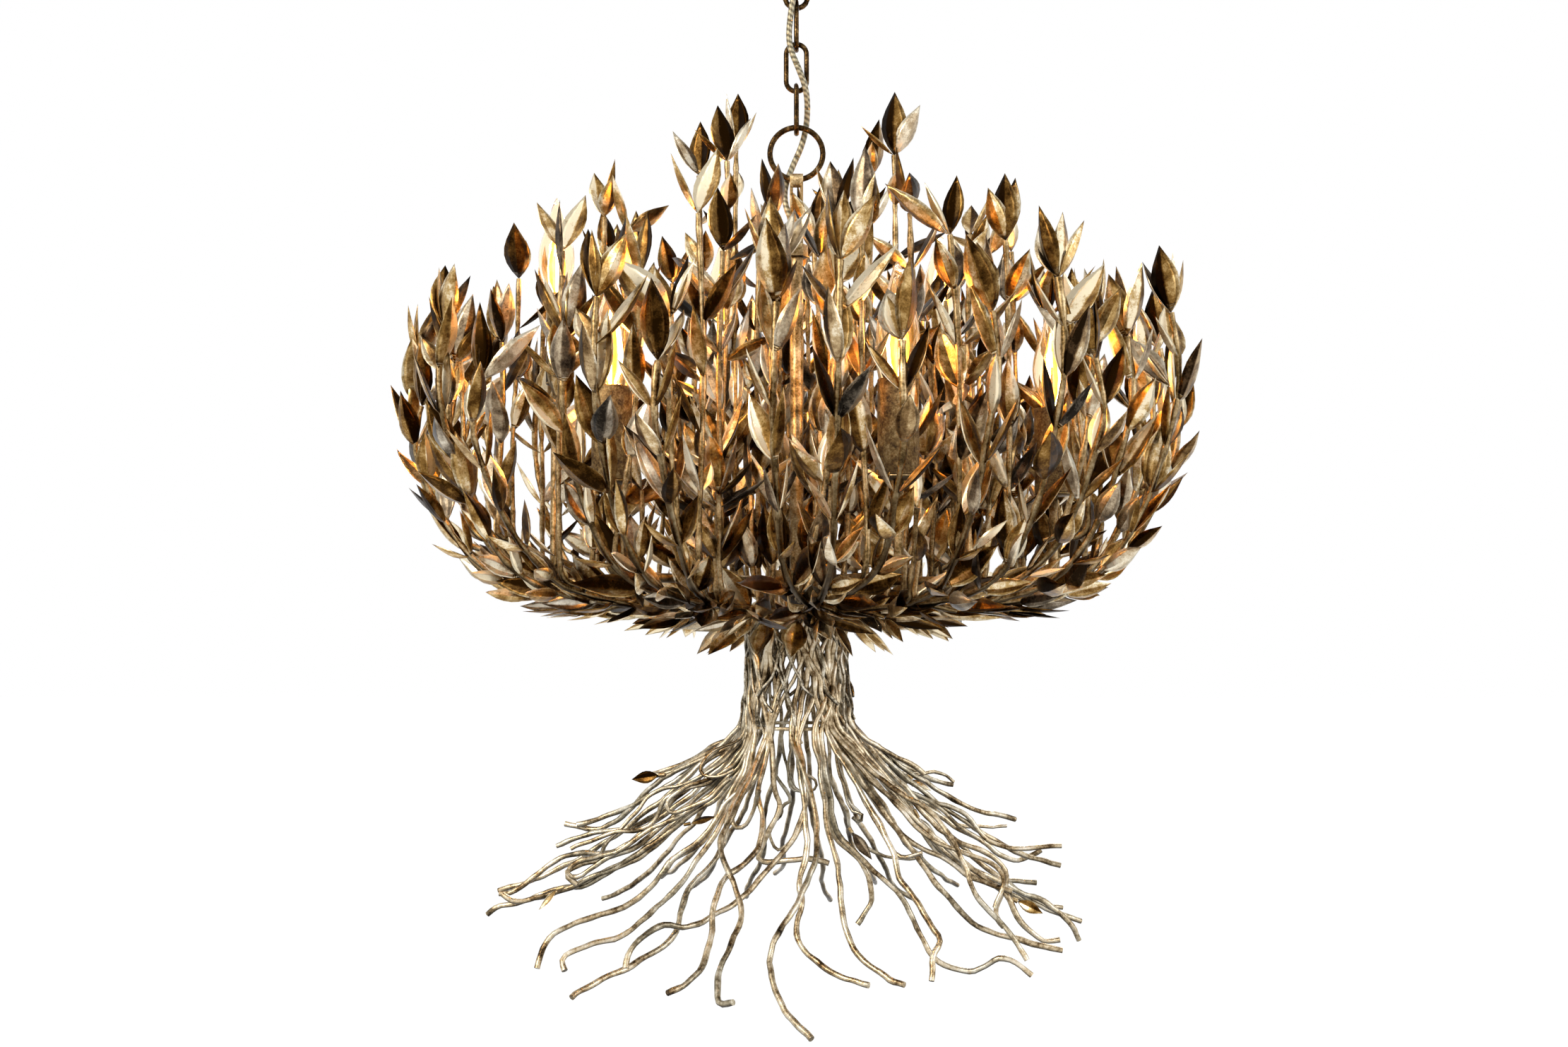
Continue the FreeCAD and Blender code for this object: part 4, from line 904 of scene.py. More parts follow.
def stem_at(line, radius):
    """Turn and height of a stem where it passes a radius on its way out."""
    for low, high in zip(line, line[1:]):
        if low[0] <= radius <= high[0]:
            share = (radius - low[0]) / (high[0] - low[0])
            return low[1] + share * (high[1] - low[1]), low[2] + share * (high[2] - low[2])
    return line[0][1:]


def crown_height(radius):
    """How high the crown's outline stands at a distance from the axis."""
    return PEAK_HEIGHT + (EDGE_HEIGHT - PEAK_HEIGHT) * (radius / RIM_RADIUS) ** CROWN_SLOPE_POWER


def rod_routes(number, angle, chance):
    """The rod, the two forks that leave its sides at its second point, and the drooping short stems."""
    routes = []
    for stem in STEMS:
        route = []
        for place, (radius, turn, height) in enumerate(stem_line(stem)):
            if stem != "rod" and place == 0:
                continue
            if stem != "rod" and place == 1:
                radius, turn, height = stem_line("rod")[1]
            wobble = chance.uniform(-ROD_WOBBLE, ROD_WOBBLE) if place > 1 else 0.0
            if number in LOW_RODS:
                height = min(height, height * LOW_ROD_SHARE + LOW_ROD_LIFT)
            route.append(polar(radius, angle + turn + wobble, height))
        routes.append(route)
    for first, last, drop in DROOPS:
        aside = chance.uniform(-DROOP_ASIDE, DROOP_ASIDE)
        start = stem_at(stem_line("rod"), RIM_RADIUS * first)[1]
        middle = polar(RIM_RADIUS * (first + last) / 2, angle + aside / 2, start - drop * DROOP_SAG)
        routes.append([polar(RIM_RADIUS * first, angle, start), middle,
                       polar(RIM_RADIUS * last, angle + aside, start - drop)])
    return routes


def seen_across(place):
    """How far to the side a place shows, measured on the upright plane through the stem."""
    return place.x * CAMERA_DISTANCE / (CAMERA_DISTANCE + place.y)


def gap_to_lamps(place):
    """The nearest gap, to the side, between a stem in front and one of the low lamps."""
    gaps = [1.0]
    for number in LOW_LAMPS:
        lamp = lamp_centre(number)
        if place.y < lamp.y:
            gaps.append(seen_across(place) - seen_across(lamp))
    return min(gaps, key=abs)


def lean_aside(place):
    """Stems in front of the pipe and of the low lamps lean aside, so that these show."""
    gap = gap_to_lamps(place)
    if abs(gap) < LAMP_CLEAR:
        return math.copysign(LAMP_CLEAR - abs(gap), gap)
    across = seen_across(place)
    if place.y < IN_FRONT_OF_PIPE and abs(across) < PIPE_CLEAR:
        return math.copysign(PIPE_CLEAR - abs(across), across)
    return 0.0


def wand_routes(number, angle, chance):
    """Upright wires that leave a stem along it and turn up: those clear of the lamps, then the others."""
    wands = ODD_WANDS if number % 2 else EVEN_WANDS
    planned = [(stem, share, height) for (stem, share), height in zip(wands, WAND_HEIGHTS[number])]
    sprigs = LOW_SPRIGS[:3] if number in SPARSE_BRANCHES else SPRIGS + LOW_SPRIGS[1:]
    for stem, share, height in sprigs:
        shift = chance.uniform(-SPRIG_SHIFT, SPRIG_SHIFT)
        planned.append((stem, share + shift, height * chance.uniform(*SPRIG_HEIGHTS)))
    clear = []
    near_lamps = []
    for stem, share, height_share in planned:
        radius = RIM_RADIUS * share
        turn, foot = stem_at(stem_line(stem), radius)
        top = crown_height(radius) * height_share - END_LEAF_REACH
        route = [polar(radius + out, angle + turn, foot + up) for out, up in WAND_FOOT]
        place = polar(radius, angle + turn, 0)
        drift = Vector((chance.uniform(-1, 1), chance.uniform(-1, 1), 0)) * WAND_DRIFT
        drift.x += lean_aside(place)
        for rise in WAND_RISES:
            bend = Vector((chance.uniform(-1, 1), chance.uniform(-1, 1), 0)) * WAND_BEND
            lean = min(1.0, rise / FULL_LEAN_FROM)
            route.append(polar(radius, angle + turn, foot + (top - foot) * rise) + drift * lean + bend)
        by_lamp = abs(gap_to_lamps(place)) < LAMP_CLEAR * 2
        by_pipe = place.y < 0 and abs(seen_across(place)) < PIPE_CLEAR * 2
        group = near_lamps if height_share > TALL_FROM and (by_lamp or by_pipe) else clear
        group.append(route)
    return clear, near_lamps


def make_sprays():
    for number in range(BRANCH_COUNT):
        chance = random.Random(BRANCH_SEED + number)
        angle = FIRST_BRANCH_ANGLE + BRANCH_STEP * number
        rods = rod_routes(number, angle, chance)
        clear, near_lamps = wand_routes(number, angle, chance)
        for name, routes, values in (
            ("leafy_rods", rods, {
                "Seed": number * 5 + 11, "Bare Foot": 0.014, "Stem Radius": 0.0024, "Missing Leaves": 0.10,
                "Leaf Spacing": 0.036, "Least Splay": 0.20, "Most Splay": 0.78}),
            ("leafy_wands", clear, {
                "Seed": number * 7 + 3, "Missing Leaves": 0.35 if number in SPARSE_BRANCHES else 0.25}),
            ("sparse_wands", near_lamps, {
                "Seed": number * 7 + 4, "Missing Leaves": 0.36, "Leaf Spacing": 0.048, "Least Splay": 0.16,
                "Most Splay": 0.66}),
        ):
            if routes:
                piece = grown("%s_%02d" % (name, number + 1), routes, leafy_spray, values)
                hang_on(piece, "chandelier", "antique_brass", "branch_%02d" % (number + 1))


leafy_spray = spray_tree()
make_sprays()


# Trunk and roots: bent wires, made by Geometry Nodes from their routes

def wire_tree():
    """Round wires that wander a little and vary in thickness."""
    tree, sizes = new_tree("bent wires", (
        ("Wire Radius", "Float", 0.0025),
        ("Wander", "Float", 0.0016),
        ("Wire Finish", "Material", champagne_wire),
    ))
    fine = add_node(tree, "GeometryNodeResampleCurve", {"Curve": sizes["Geometry"], "Length": 0.005},
                    mode="LENGTH")
    spot = add_node(tree, "GeometryNodeInputPosition")
    drift = add_node(tree, "ShaderNodeTexNoise", {"Vector": spot, "Scale": 38.0, "Detail": 1.0}, out=1)
    centred = add_node(tree, "ShaderNodeVectorMath", {0: drift, 1: (0.5, 0.5, 0.5)}, operation="SUBTRACT")
    reach = add_node(tree, "ShaderNodeMath", {0: sizes["Wander"], 1: 4.0}, operation="MULTIPLY")
    offset = add_node(tree, "ShaderNodeVectorMath", {0: centred, "Scale": reach}, operation="SCALE")
    bent = add_node(tree, "GeometryNodeSetPosition", {"Geometry": fine, "Offset": offset})
    swell_noise = add_node(tree, "ShaderNodeTexNoise", {"Vector": spot, "Scale": 60.0, "Detail": 1.0})
    swell = add_node(tree, "ShaderNodeMapRange",
                     {"Value": swell_noise, "From Min": 0.3, "From Max": 0.7, "To Min": 0.86, "To Max": 1.14})
    gauge = add_node(tree, "ShaderNodeMath", {0: swell, 1: sizes["Wire Radius"]}, operation="MULTIPLY")
    own = add_node(tree, "GeometryNodeInputRadius")
    gauge = add_node(tree, "ShaderNodeMath", {0: gauge, 1: own}, operation="MULTIPLY")
    ring = add_node(tree, "GeometryNodeCurvePrimitiveCircle", {"Resolution": 8, "Radius": 1.0})
    wires = add_node(tree, "GeometryNodeCurveToMesh",
                     {"Curve": bent, "Profile Curve": ring, "Scale": gauge, "Fill Caps": True})
    wires = add_node(tree, "GeometryNodeSetShadeSmooth", {"Geometry": wires, "Shade Smooth": True})
    wires = add_node(tree, "GeometryNodeRealizeInstances", {"Geometry": wires})
    wires = add_node(tree, "GeometryNodeSetMaterial", {"Geometry": wires, "Material": sizes["Wire Finish"]})
    add_node(tree, "NodeGroupOutput", {"Geometry": wires})
    return tree


PHOTO_WIDTH = 2220
PHOTO_HEIGHT = 1482
TRUNK_RADIUS = 0.045
TRUNK_FOOT_RADIUS = 0.051
TRUNK_HEIGHT = 0.105
TRUNK_STATIONS = (0.0, 0.25, 0.5, 0.75)
ROOT_GROUPS = 8

# Roots seen in front and at the sides, read on two enlarged views of the photograph.
# A view is its corner in the photograph's pixels and its enlargement.
LEFT_VIEW = (680, 1020, 3.136)
RIGHT_VIEW = (1080, 1020, 3.267)
LEFT_BUNDLE = (620, 960, 2.529)
RIGHT_BUNDLE = (1140, 960, 2.529)
# For each view: the side of the trunk (-1 front, 1 back), the tip's depth, the gauge, the points to the tip
ROOTS_SEEN = (
    (LEFT_VIEW, (
        (1, 0.040, 1.00, ((1160, 60), (1060, 110), (960, 180), (880, 212), (790, 240), (722, 250))),
        (1, 0.060, 1.00, ((1140, 90), (1010, 170), (850, 225), (760, 285), (690, 370), (600, 455), (500, 492),
            (385, 458))),
        (1, 0.020, 1.00, ((1130, 120), (960, 270), (850, 350), (760, 440), (640, 480), (510, 497), (400, 528),
            (337, 555))),
        (1, 0.000, 1.00, ((1140, 150), (960, 310), (820, 400), (700, 520), (560, 595), (440, 575), (300, 645),
            (130, 775), (85, 768))),
        (-1, -0.030, 1.00, ((1150, 160), (980, 330), (840, 440), (700, 560), (560, 605), (405, 650),
            (372, 685), (430, 722))),
        (-1, -0.020, 1.00, ((1160, 170), (1000, 350), (860, 480), (740, 590), (600, 655), (480, 700),
            (380, 745), (240, 795), (150, 800), (95, 775))),
        (-1, 0.000, 1.00, ((1170, 150), (1010, 340), (880, 440), (760, 545), (650, 620), (520, 690),
            (400, 742), (280, 785), (150, 812), (75, 826), (30, 860))),
        (-1, -0.118, 1.00, ((1200, 150), (1110, 330), (1050, 450), (980, 560), (870, 600), (815, 655),
            (770, 735), (640, 828), (540, 858), (430, 897), (330, 940), (270, 1010), (252, 1095))),
        (-1, -0.135, 1.00, ((1210, 160), (1120, 340), (1070, 470), (985, 590), (920, 680), (840, 785),
            (770, 838), (710, 895), (640, 955), (500, 990), (410, 1015), (352, 1058), (378, 1112))),
        (-1, -0.225, 1.00, ((1230, 170), (1130, 350), (1085, 480), (1070, 590), (980, 690), (915, 765),
            (885, 870), (865, 950), (810, 1010), (640, 1095), (520, 1160), (410, 1232))),
        (-1, -0.190, 1.00, ((1400, 60), (1440, 200), (1450, 430), (1330, 610), (1200, 760), (1080, 850),
            (940, 918), (830, 905), (730, 940), (655, 1020), (645, 1092))),
        (-1, -0.214, 1.00, ((1270, 150), (1225, 330), (1262, 450), (1245, 560), (1180, 630), (1060, 705),
            (1042, 800), (1038, 900), (1022, 1010), (975, 1115), (900, 1180), (830, 1213))),
        (-1, -0.232, 1.00, ((1250, 120), (1150, 380), (1070, 480), (1062, 560), (1095, 670), (1150, 770),
            (1158, 870), (1130, 970), (1075, 1080), (1042, 1190), (1062, 1270), (1120, 1255))),
        (-1, -0.060, 1.00, ((1300, 130), (1300, 300), (1345, 380), (1280, 500), (1222, 600), (1245, 638),
            (1340, 630), (1440, 598), (1545, 636))),
        (1, 0.040, 0.70, ((1340, 150), (1370, 210), (1365, 290), (1400, 320), (1460, 310))),
        (1, 0.060, 0.70, ((1280, 160), (1310, 250), (1370, 330), (1385, 360), (1330, 370), (1350, 420),
            (1300, 450))),
        (1, 0.030, 0.70, ((1150, 100), (975, 200), (985, 240), (1060, 290))),
    )),
    (RIGHT_VIEW, (
        (-1, -0.250, 1.00, ((120, 60), (190, 220), (238, 400), (250, 560), (245, 690), (180, 810), (90, 940),
            (38, 1040), (28, 1130), (60, 1260), (130, 1380), (225, 1474))),
        (-1, -0.180, 1.00, ((160, 60), (180, 330), (205, 500), (205, 630), (160, 740), (190, 860), (148, 950),
            (148, 1010), (190, 1065), (340, 1185), (420, 1210), (490, 1220))),
        (-1, -0.186, 1.00, ((230, 60), (262, 200), (295, 450), (330, 600), (352, 720), (362, 850), (380, 960),
            (420, 1060), (500, 1140), (590, 1212), (655, 1225))),
        (-1, -0.070, 1.00, ((250, 80), (290, 300), (315, 520), (400, 600), (485, 690), (508, 770), (500, 855),
            (435, 942))),
        (-1, -0.110, 1.00, ((260, 70), (310, 330), (325, 500), (420, 610), (520, 700), (620, 790), (680, 880),
            (730, 1000), (790, 1105), (890, 1160), (1000, 1160), (1080, 1090), (1160, 1112), (1240, 1178))),
        (-1, -0.170, 1.00, ((290, 60), (420, 280), (540, 470), (605, 600), (618, 700), (680, 790), (745, 880),
            (790, 975), (828, 1020), (785, 1100), (785, 1208))),
        (-1, -0.090, 1.00, ((300, 50), (440, 260), (580, 450), (650, 550), (730, 650), (820, 785), (890, 845),
            (980, 950), (1150, 1000), (1260, 1035), (1385, 1068))),
        (-1, -0.060, 1.00, ((320, 60), (480, 260), (640, 400), (800, 540), (960, 690), (1090, 765),
            (1140, 825), (1210, 945), (1300, 1032), (1375, 1010))),
        (-1, -0.100, 1.00, ((310, 40), (480, 220), (640, 345), (770, 405), (880, 540), (930, 650), (965, 760),
            (1010, 850), (1100, 930), (1170, 1020), (1215, 1112))),
        (-1, -0.040, 1.00, ((330, 50), (520, 240), (700, 380), (880, 560), (1000, 590), (1100, 650),
            (1135, 730), (1075, 840), (1065, 900), (1110, 960))),
        (-1, 0.000, 1.00, ((340, 30), (500, 220), (640, 380), (780, 560), (920, 670), (1060, 735),
            (1190, 790), (1310, 832), (1390, 895), (1430, 950), (1465, 1018))),
        (-1, 0.020, 1.00, ((330, 10), (480, 180), (640, 350), (800, 590), (940, 690), (1090, 775),
            (1200, 830), (1300, 848), (1390, 868))),
        (1, 0.030, 1.00, ((350, 10), (520, 200), (650, 340), (780, 600), (900, 675), (1020, 722), (1140, 746),
            (1265, 745))),
        (1, 0.020, 1.00, ((370, 0), (520, 190), (640, 320), (780, 372), (900, 405), (980, 480), (1030, 555),
            (1120, 592), (1250, 588), (1385, 578))),
        (1, 0.060, 1.00, ((360, 20), (560, 260), (740, 390), (900, 500), (1010, 550), (1090, 622),
            (1170, 650), (1240, 630), (1290, 600))),
        (1, 0.090, 0.70, ((370, 10), (540, 220), (660, 330), (790, 400), (880, 492), (1040, 487),
            (1130, 485))),
        (1, 0.080, 0.70, ((380, 20), (440, 130), (540, 232), (700, 250), (830, 238), (885, 275))),
        (-1, 0.000, 1.00, ((390, -20), (410, 40), (470, 80), (545, 120), (600, 168), (690, 195), (745, 245))),
        (1, 0.060, 1.00, ((400, 20), (450, 95), (500, 180), (560, 150), (600, 230), (660, 285))),
        (1, 0.090, 0.70, ((300, 120), (330, 360), (400, 420), (395, 500), (440, 570), (520, 610), (610, 636),
            (690, 640), (745, 620))),
        (1, 0.050, 0.70, ((330, 140), (380, 300), (388, 380), (440, 420), (462, 455), (430, 475))),
    )),
    (LEFT_BUNDLE, (
        (-1, -0.020, 0.90, ((1110, 230), (1060, 290), (1000, 360), (930, 390), (850, 400), (800, 450),
            (790, 500), (740, 545), (650, 545), (560, 580), (490, 600), (475, 612))),
        (-1, -0.030, 0.90, ((1120, 250), (1060, 340), (990, 400), (920, 460), (880, 490), (800, 520),
            (730, 560), (660, 610), (590, 650), (540, 690), (490, 718), (455, 695), (482, 664), (560, 640),
            (640, 622))),
        (-1, -0.010, 0.95, ((1130, 260), (1070, 350), (1000, 430), (910, 480), (850, 540), (790, 580),
            (700, 630), (620, 690), (540, 745), (450, 745), (390, 762), (330, 792))),
        (-1, -0.040, 0.80, ((1120, 240), (1040, 330), (960, 370), (890, 380), (830, 420), (815, 470),
            (850, 490), (930, 450), (990, 420), (1050, 360))),
        (-1, -0.015, 0.75, ((1100, 225), (1020, 300), (940, 355), (860, 385), (775, 405), (720, 470),
            (640, 560), (590, 600), (590, 640), (560, 650))),
        (-1, -0.050, 0.60, ((1100, 210), (1040, 240), (980, 265), (940, 300), (935, 330), (955, 352),
            (1010, 350), (1060, 330))),
        (-1, -0.070, 0.95, ((1180, 250), (1150, 350), (1080, 410), (1020, 450), (1000, 500), (962, 560),
            (900, 610), (850, 640), (800, 700))),
        (-1, -0.080, 0.80, ((1170, 300), (1110, 400), (1060, 450), (1050, 500), (1062, 532), (1100, 530),
            (1120, 500), (1140, 450), (1150, 400))),
        (1, 0.020, 0.55, ((1270, 230), (1250, 310), (1258, 352), (1282, 400), (1310, 408), (1350, 404),
            (1352, 352), (1300, 345))),
        (1, 0.040, 0.60, ((1190, 300), (1200, 350), (1215, 420), (1238, 470), (1215, 500), (1188, 540),
            (1190, 580), (1216, 620), (1250, 600), (1290, 560), (1312, 520))),
    )),
    (RIGHT_BUNDLE, (
        (-1, -0.060, 0.95, ((120, 220), (180, 330), (230, 420), (290, 500), (340, 560), (400, 600),
            (470, 630), (540, 680), (600, 720), (680, 742), (745, 762))),
        (-1, -0.075, 0.90, ((130, 200), (200, 310), (260, 380), (320, 450), (380, 520), (440, 560),
            (480, 600), (560, 620), (640, 650), (690, 672), (718, 720), (700, 765), (680, 825))),
        (-1, -0.085, 0.70, ((110, 230), (180, 370), (220, 460), (270, 540), (300, 592), (330, 640),
            (390, 640), (420, 628))),
        (-1, -0.020, 0.90, ((150, 180), (200, 250), (270, 330), (350, 410), (420, 470), (500, 540),
            (560, 650), (590, 715))),
        (1, 0.020, 0.80, ((140, 170), (230, 260), (300, 330), (360, 400), (430, 430), (500, 470), (545, 530),
            (620, 572), (640, 590))),
        (1, 0.040, 0.55, ((150, 180), (205, 220), (262, 236), (300, 290), (340, 340), (385, 385))),
        (-1, -0.060, 0.60, ((120, 330), (145, 400), (152, 445), (172, 490), (200, 480), (208, 508),
            (186, 520), (174, 500))),
    )),
)
# Small leaves on the roots: the view, the depth, the leaf's foot and a point toward its tip
ROOT_LEAVES = (
    (LEFT_BUNDLE, 0.030, (812, 345), (790, 347)),
    (LEFT_BUNDLE, -0.040, (450, 748), (425, 756)),
    (LEFT_BUNDLE, -0.040, (880, 525), (905, 520)),
    (RIGHT_BUNDLE, 0.040, (365, 345), (382, 362)),
    (RIGHT_BUNDLE, -0.070, (155, 535), (168, 552)),
    (RIGHT_BUNDLE, -0.050, (740, 790), (760, 798)),
    (RIGHT_BUNDLE, -0.040, (390, 470), (405, 500)),
)
# Roots behind the trunk are out of view and are those of the CAD source, each a row of
# the tip's angle and its shares of the reach and of the drop
BACK_ROOT_TIPS = (
    (0, 0.90, 0.93), (9, 0.86, 0.78), (20, 0.78, 0.66), (33, 0.62, 0.55),
    (46, 0.84, 0.92), (58, 0.76, 0.97), (70, 0.90, 0.95), (82, 0.80, 1.00),
    (94, 0.93, 0.93), (105, 0.76, 0.98), (116, 0.88, 0.96), (128, 0.80, 0.90),
    (141, 0.86, 0.95), (154, 0.58, 0.52), (165, 0.74, 0.66), (176, 0.96, 0.85),
)
CAD_ROOT_COUNT = 31
ROOT_REACH = 0.290
ROOT_DROP = 0.305
ROOT_SWAY = 0.006
ROOT_CURVE_POWER = 1.5
ROOT_RUNS = ((0.16, 0.2), (0.36, -0.8), (0.58, 1.0), (0.80, -0.7), (1.0, 0.8))
KINK_SHARE = 0.27
# Trunk wires: their turn on the way down and their wandering in degrees, and their spread's share
WIRE_TOP = HUB_FOOT_LEVEL - BASE_LEVEL - 0.0025
WIRE_TWIST = (8, 62)
WIRE_WANDER = 9
WIRE_SPREAD = (0.86, 1.03)
FOOT_ACROSS_MOST = 0.049
# Thin wires wound over them, with their thickness as a share of a root wire's
WOUND_WIRES = 52
WOUND_TOP = HUB_FOOT_LEVEL - BASE_LEVEL - 0.0022
WOUND_TWIST = (5, 75)
WOUND_WANDER = 5
WOUND_FOOT = (-0.030, 0.016)
WOUND_BULGE = (-0.0022, 0.0034)
WOUND_STATIONS = 9
WOUND_GAUGES = (0.42, 0.72)
WOUND_DRIFT = 0.0006
ROOTS_SEED = 77


def seen_place(view, point, depth):
    """The place at a depth that shows at a point of an enlarged view of the photograph."""
    corner_u, corner_v, enlargement = view
    focal = CAMERA_LENS_MM / SENSOR_WIDTH_MM * PHOTO_WIDTH
    u = corner_u + point[0] / enlargement
    v = corner_v + point[1] / enlargement
    look = Vector(((u - PHOTO_WIDTH / 2) / focal, (PHOTO_HEIGHT / 2 - v) / focal, -1.0))
    look.rotate(camera.rotation_euler)
    return camera.location + look * ((depth - camera.location.y) / look.y)


def trunk_spread(share):
    """The trunk's radius at a share of its height from the top: straight, then wider to its foot."""
    return TRUNK_RADIUS + (TRUNK_FOOT_RADIUS - TRUNK_RADIUS) * max(0.0, share * 2 - 1)


def trunk_route(foot_angle, chance):
    """A wire down the trunk, which crosses its neighbours on the way to its foot."""
    twist = chance.choice((-1, 1)) * chance.uniform(*WIRE_TWIST)
    route = []
    for share in TRUNK_STATIONS:
        angle = foot_angle + twist * (1 - share) + chance.uniform(-WIRE_WANDER, WIRE_WANDER)
        route.append(polar(trunk_spread(share) * chance.uniform(*WIRE_SPREAD), angle,
                           WIRE_TOP - (TRUNK_HEIGHT + WIRE_TOP) * share))
    return route


def root_seen(view, side, tip_depth, points, chance):
    """A root that follows its points from the trunk's foot, its depth growing evenly to the tip."""
    first = seen_place(view, points[0], 0.0)
    across = max(-FOOT_ACROSS_MOST, min(FOOT_ACROSS_MOST, first.x))
    foot_depth = side * math.sqrt(TRUNK_FOOT_RADIUS ** 2 - across ** 2)
    runs = [0.0]
    for before, after in zip(points, points[1:]):
        runs.append(runs[-1] + math.dist(before, after))
    route = trunk_route(math.degrees(math.atan2(foot_depth, across)), chance)
    for point, run in zip(points, runs):
        depth = foot_depth + (tip_depth - foot_depth) * run / runs[-1]
        route.append(seen_place(view, point, depth))
    return route


def kinked(route):
    """The route with two points at each of its bends, so that the wire turns there more sharply."""
    points = [route[0]]
    for before, corner, after in zip(route, route[1:], route[2:]):
        points.append(corner + (before - corner) * KINK_SHARE)
        points.append(corner + (after - corner) * KINK_SHARE)
    points.append(route[-1])
    return points


def back_root(number, tip_angle, reach_share, drop_share, chance):
    """A root behind the trunk: out at its foot, then down to its tip in shallow waves."""
    reach = ROOT_REACH * reach_share
    fall = ROOT_DROP * drop_share - TRUNK_HEIGHT
    foot_angle = 360.0 * number / CAD_ROOT_COUNT
    swing = -1 if number % 2 else 1
    route = trunk_route(foot_angle, chance)
    route.append(polar(TRUNK_FOOT_RADIUS, foot_angle, -TRUNK_HEIGHT))
    for run, sway in ROOT_RUNS:
        radius = TRUNK_FOOT_RADIUS + (reach - TRUNK_FOOT_RADIUS) * run
        angle = foot_angle + (tip_angle - foot_angle) * run
        sideways = Vector((-math.sin(math.radians(angle)), math.cos(math.radians(angle)), 0))
        height = -TRUNK_HEIGHT - fall * (1 - (1 - run) ** ROOT_CURVE_POWER)
        route.append(polar(radius, angle, height) + sideways * ROOT_SWAY * sway * swing)
    return route


def wound_wire(chance):
    """A thin wire down the trunk's outside, slanting over the others and ending on a root's foot."""
    angle = chance.uniform(0, 360)
    twist = chance.choice((-1, 1)) * chance.uniform(*WOUND_TWIST)
    foot = -TRUNK_HEIGHT - chance.uniform(*WOUND_FOOT)
    route = []
    for station in range(WOUND_STATIONS + 1):
        share = station / WOUND_STATIONS
        bulge = chance.uniform(*WOUND_BULGE)
        wander = chance.uniform(-WOUND_WANDER, WOUND_WANDER)
        route.append(polar(trunk_spread(share) + bulge, angle + twist * share + wander,
                           WOUND_TOP + (foot - WOUND_TOP) * share))
    return route


def make_roots():
    tree = wire_tree()
    chance = random.Random(ROOTS_SEED)
    roots = []
    for view, rows in ROOTS_SEEN:
        for side, tip_depth, gauge, points in rows:
            roots.append((root_seen(view, side, tip_depth, points, chance), gauge))
    for number, (tip_angle, reach_share, drop_share) in enumerate(BACK_ROOT_TIPS):
        roots.append((back_root(number, tip_angle, reach_share, drop_share, chance), 1.0))
    groups = [([], []) for _ in range(ROOT_GROUPS)]
    for route, gauge in roots:
        tip_angle = math.degrees(math.atan2(route[-1].y, route[-1].x)) % 360.0
        routes, gauges = groups[int(tip_angle * ROOT_GROUPS // 360)]
        routes.append(kinked(route))
        gauges.append(gauge)
    nodes = ["root_wires_%d" % (number + 1) for number in range(ROOT_GROUPS)]
    for number, (routes, gauges) in enumerate(groups):
        piece = grown("bent_roots_%d" % (number + 1), routes, tree, {}, gauges)
        hang_on(piece, "chandelier", "champagne_wire", nodes[number])

    wound = [(kinked(wound_wire(chance)), chance.uniform(*WOUND_GAUGES)) for _ in range(WOUND_WIRES)]
    routes, gauges = zip(*wound)
    piece = grown("wound_trunk_wires", routes, tree,
                  {"Wander": WOUND_DRIFT, "Wire Finish": weathered_wire}, gauges)
    hang_on(piece, "chandelier", "champagne_wire", *nodes)


def make_root_leaves():
    """Single small leaves, each on a short stem that lies on a root."""
    stems = []
    for view, depth, foot, toward in ROOT_LEAVES:
        start = seen_place(view, foot, depth)
        end = seen_place(view, toward, depth)
        stems.append([start, (start + end) / 2, end])
    leaves = grown("root_leaves", stems, leafy_spray, {
        "Leaf Length": 0.027, "Leaf Width": 0.0105, "Leaf Fold": 0.0020, "Leaf Arch": 0.0020,
        "Pair Leaves": 0, "End Leaves": 1, "Missing Leaves": 0.0, "Level Ease": 0.0, "Stem Radius": 0.0016,
        "Seed": 5})
    hang_on(leaves, "chandelier", "antique_brass", "root_wires_4", "root_wires_5", "root_wires_8")


make_roots()
make_root_leaves()


# Lamps: arms, sleeves and flame bulbs

BULB_LENGTH = 0.095
BULB_NECK = 0.0082
BULB_WALL = 0.0008
BULB_TIP_WALL = 0.003
LEAST_BULB_BORE = 0.0002
BULB_SIDES = 32
BULB_BASE_SIDES = 28
FILAMENT_SIDES = 8
# Name, lamp numbers, height of the sleeve's top, sleeve radius, sleeve length and the sleeve's finish
LAMP_SETS = (
    ("low", LOW_LAMPS, 0.183, 0.0165, 0.076, aged_gilt),
    ("high", HIGH_LAMPS, 0.304, 0.0094, 0.084, antique_brass_stem),
)
# Multiples of the neck's radius and shares of the bulb's height, from the foot up
BULB_OUTLINE = (
    (1.0, 0.0), (1.06, 0.03), (1.25, 0.08), (1.62, 0.15), (1.90, 0.22), (2.08, 0.30), (2.13, 0.38),
    (2.05, 0.46), (1.88, 0.53), (1.62, 0.60), (1.30, 0.68), (1.02, 0.76), (0.76, 0.84), (0.52, 0.91),
    (0.30, 0.96), (0.12, 0.99))
FILAMENT_COUNT = 6
# Distance from the bulb's axis and share of its height, from the foot up
FILAMENT_LINE = (
    (0.0016, 0.02), (0.0062, 0.13), (0.0072, 0.28), (0.0056, 0.44), (0.0034, 0.58), (0.0012, 0.72))
FILAMENT_GAUGES = (0.0008, 0.0018, 0.0022, 0.0020, 0.0014, 0.0006)
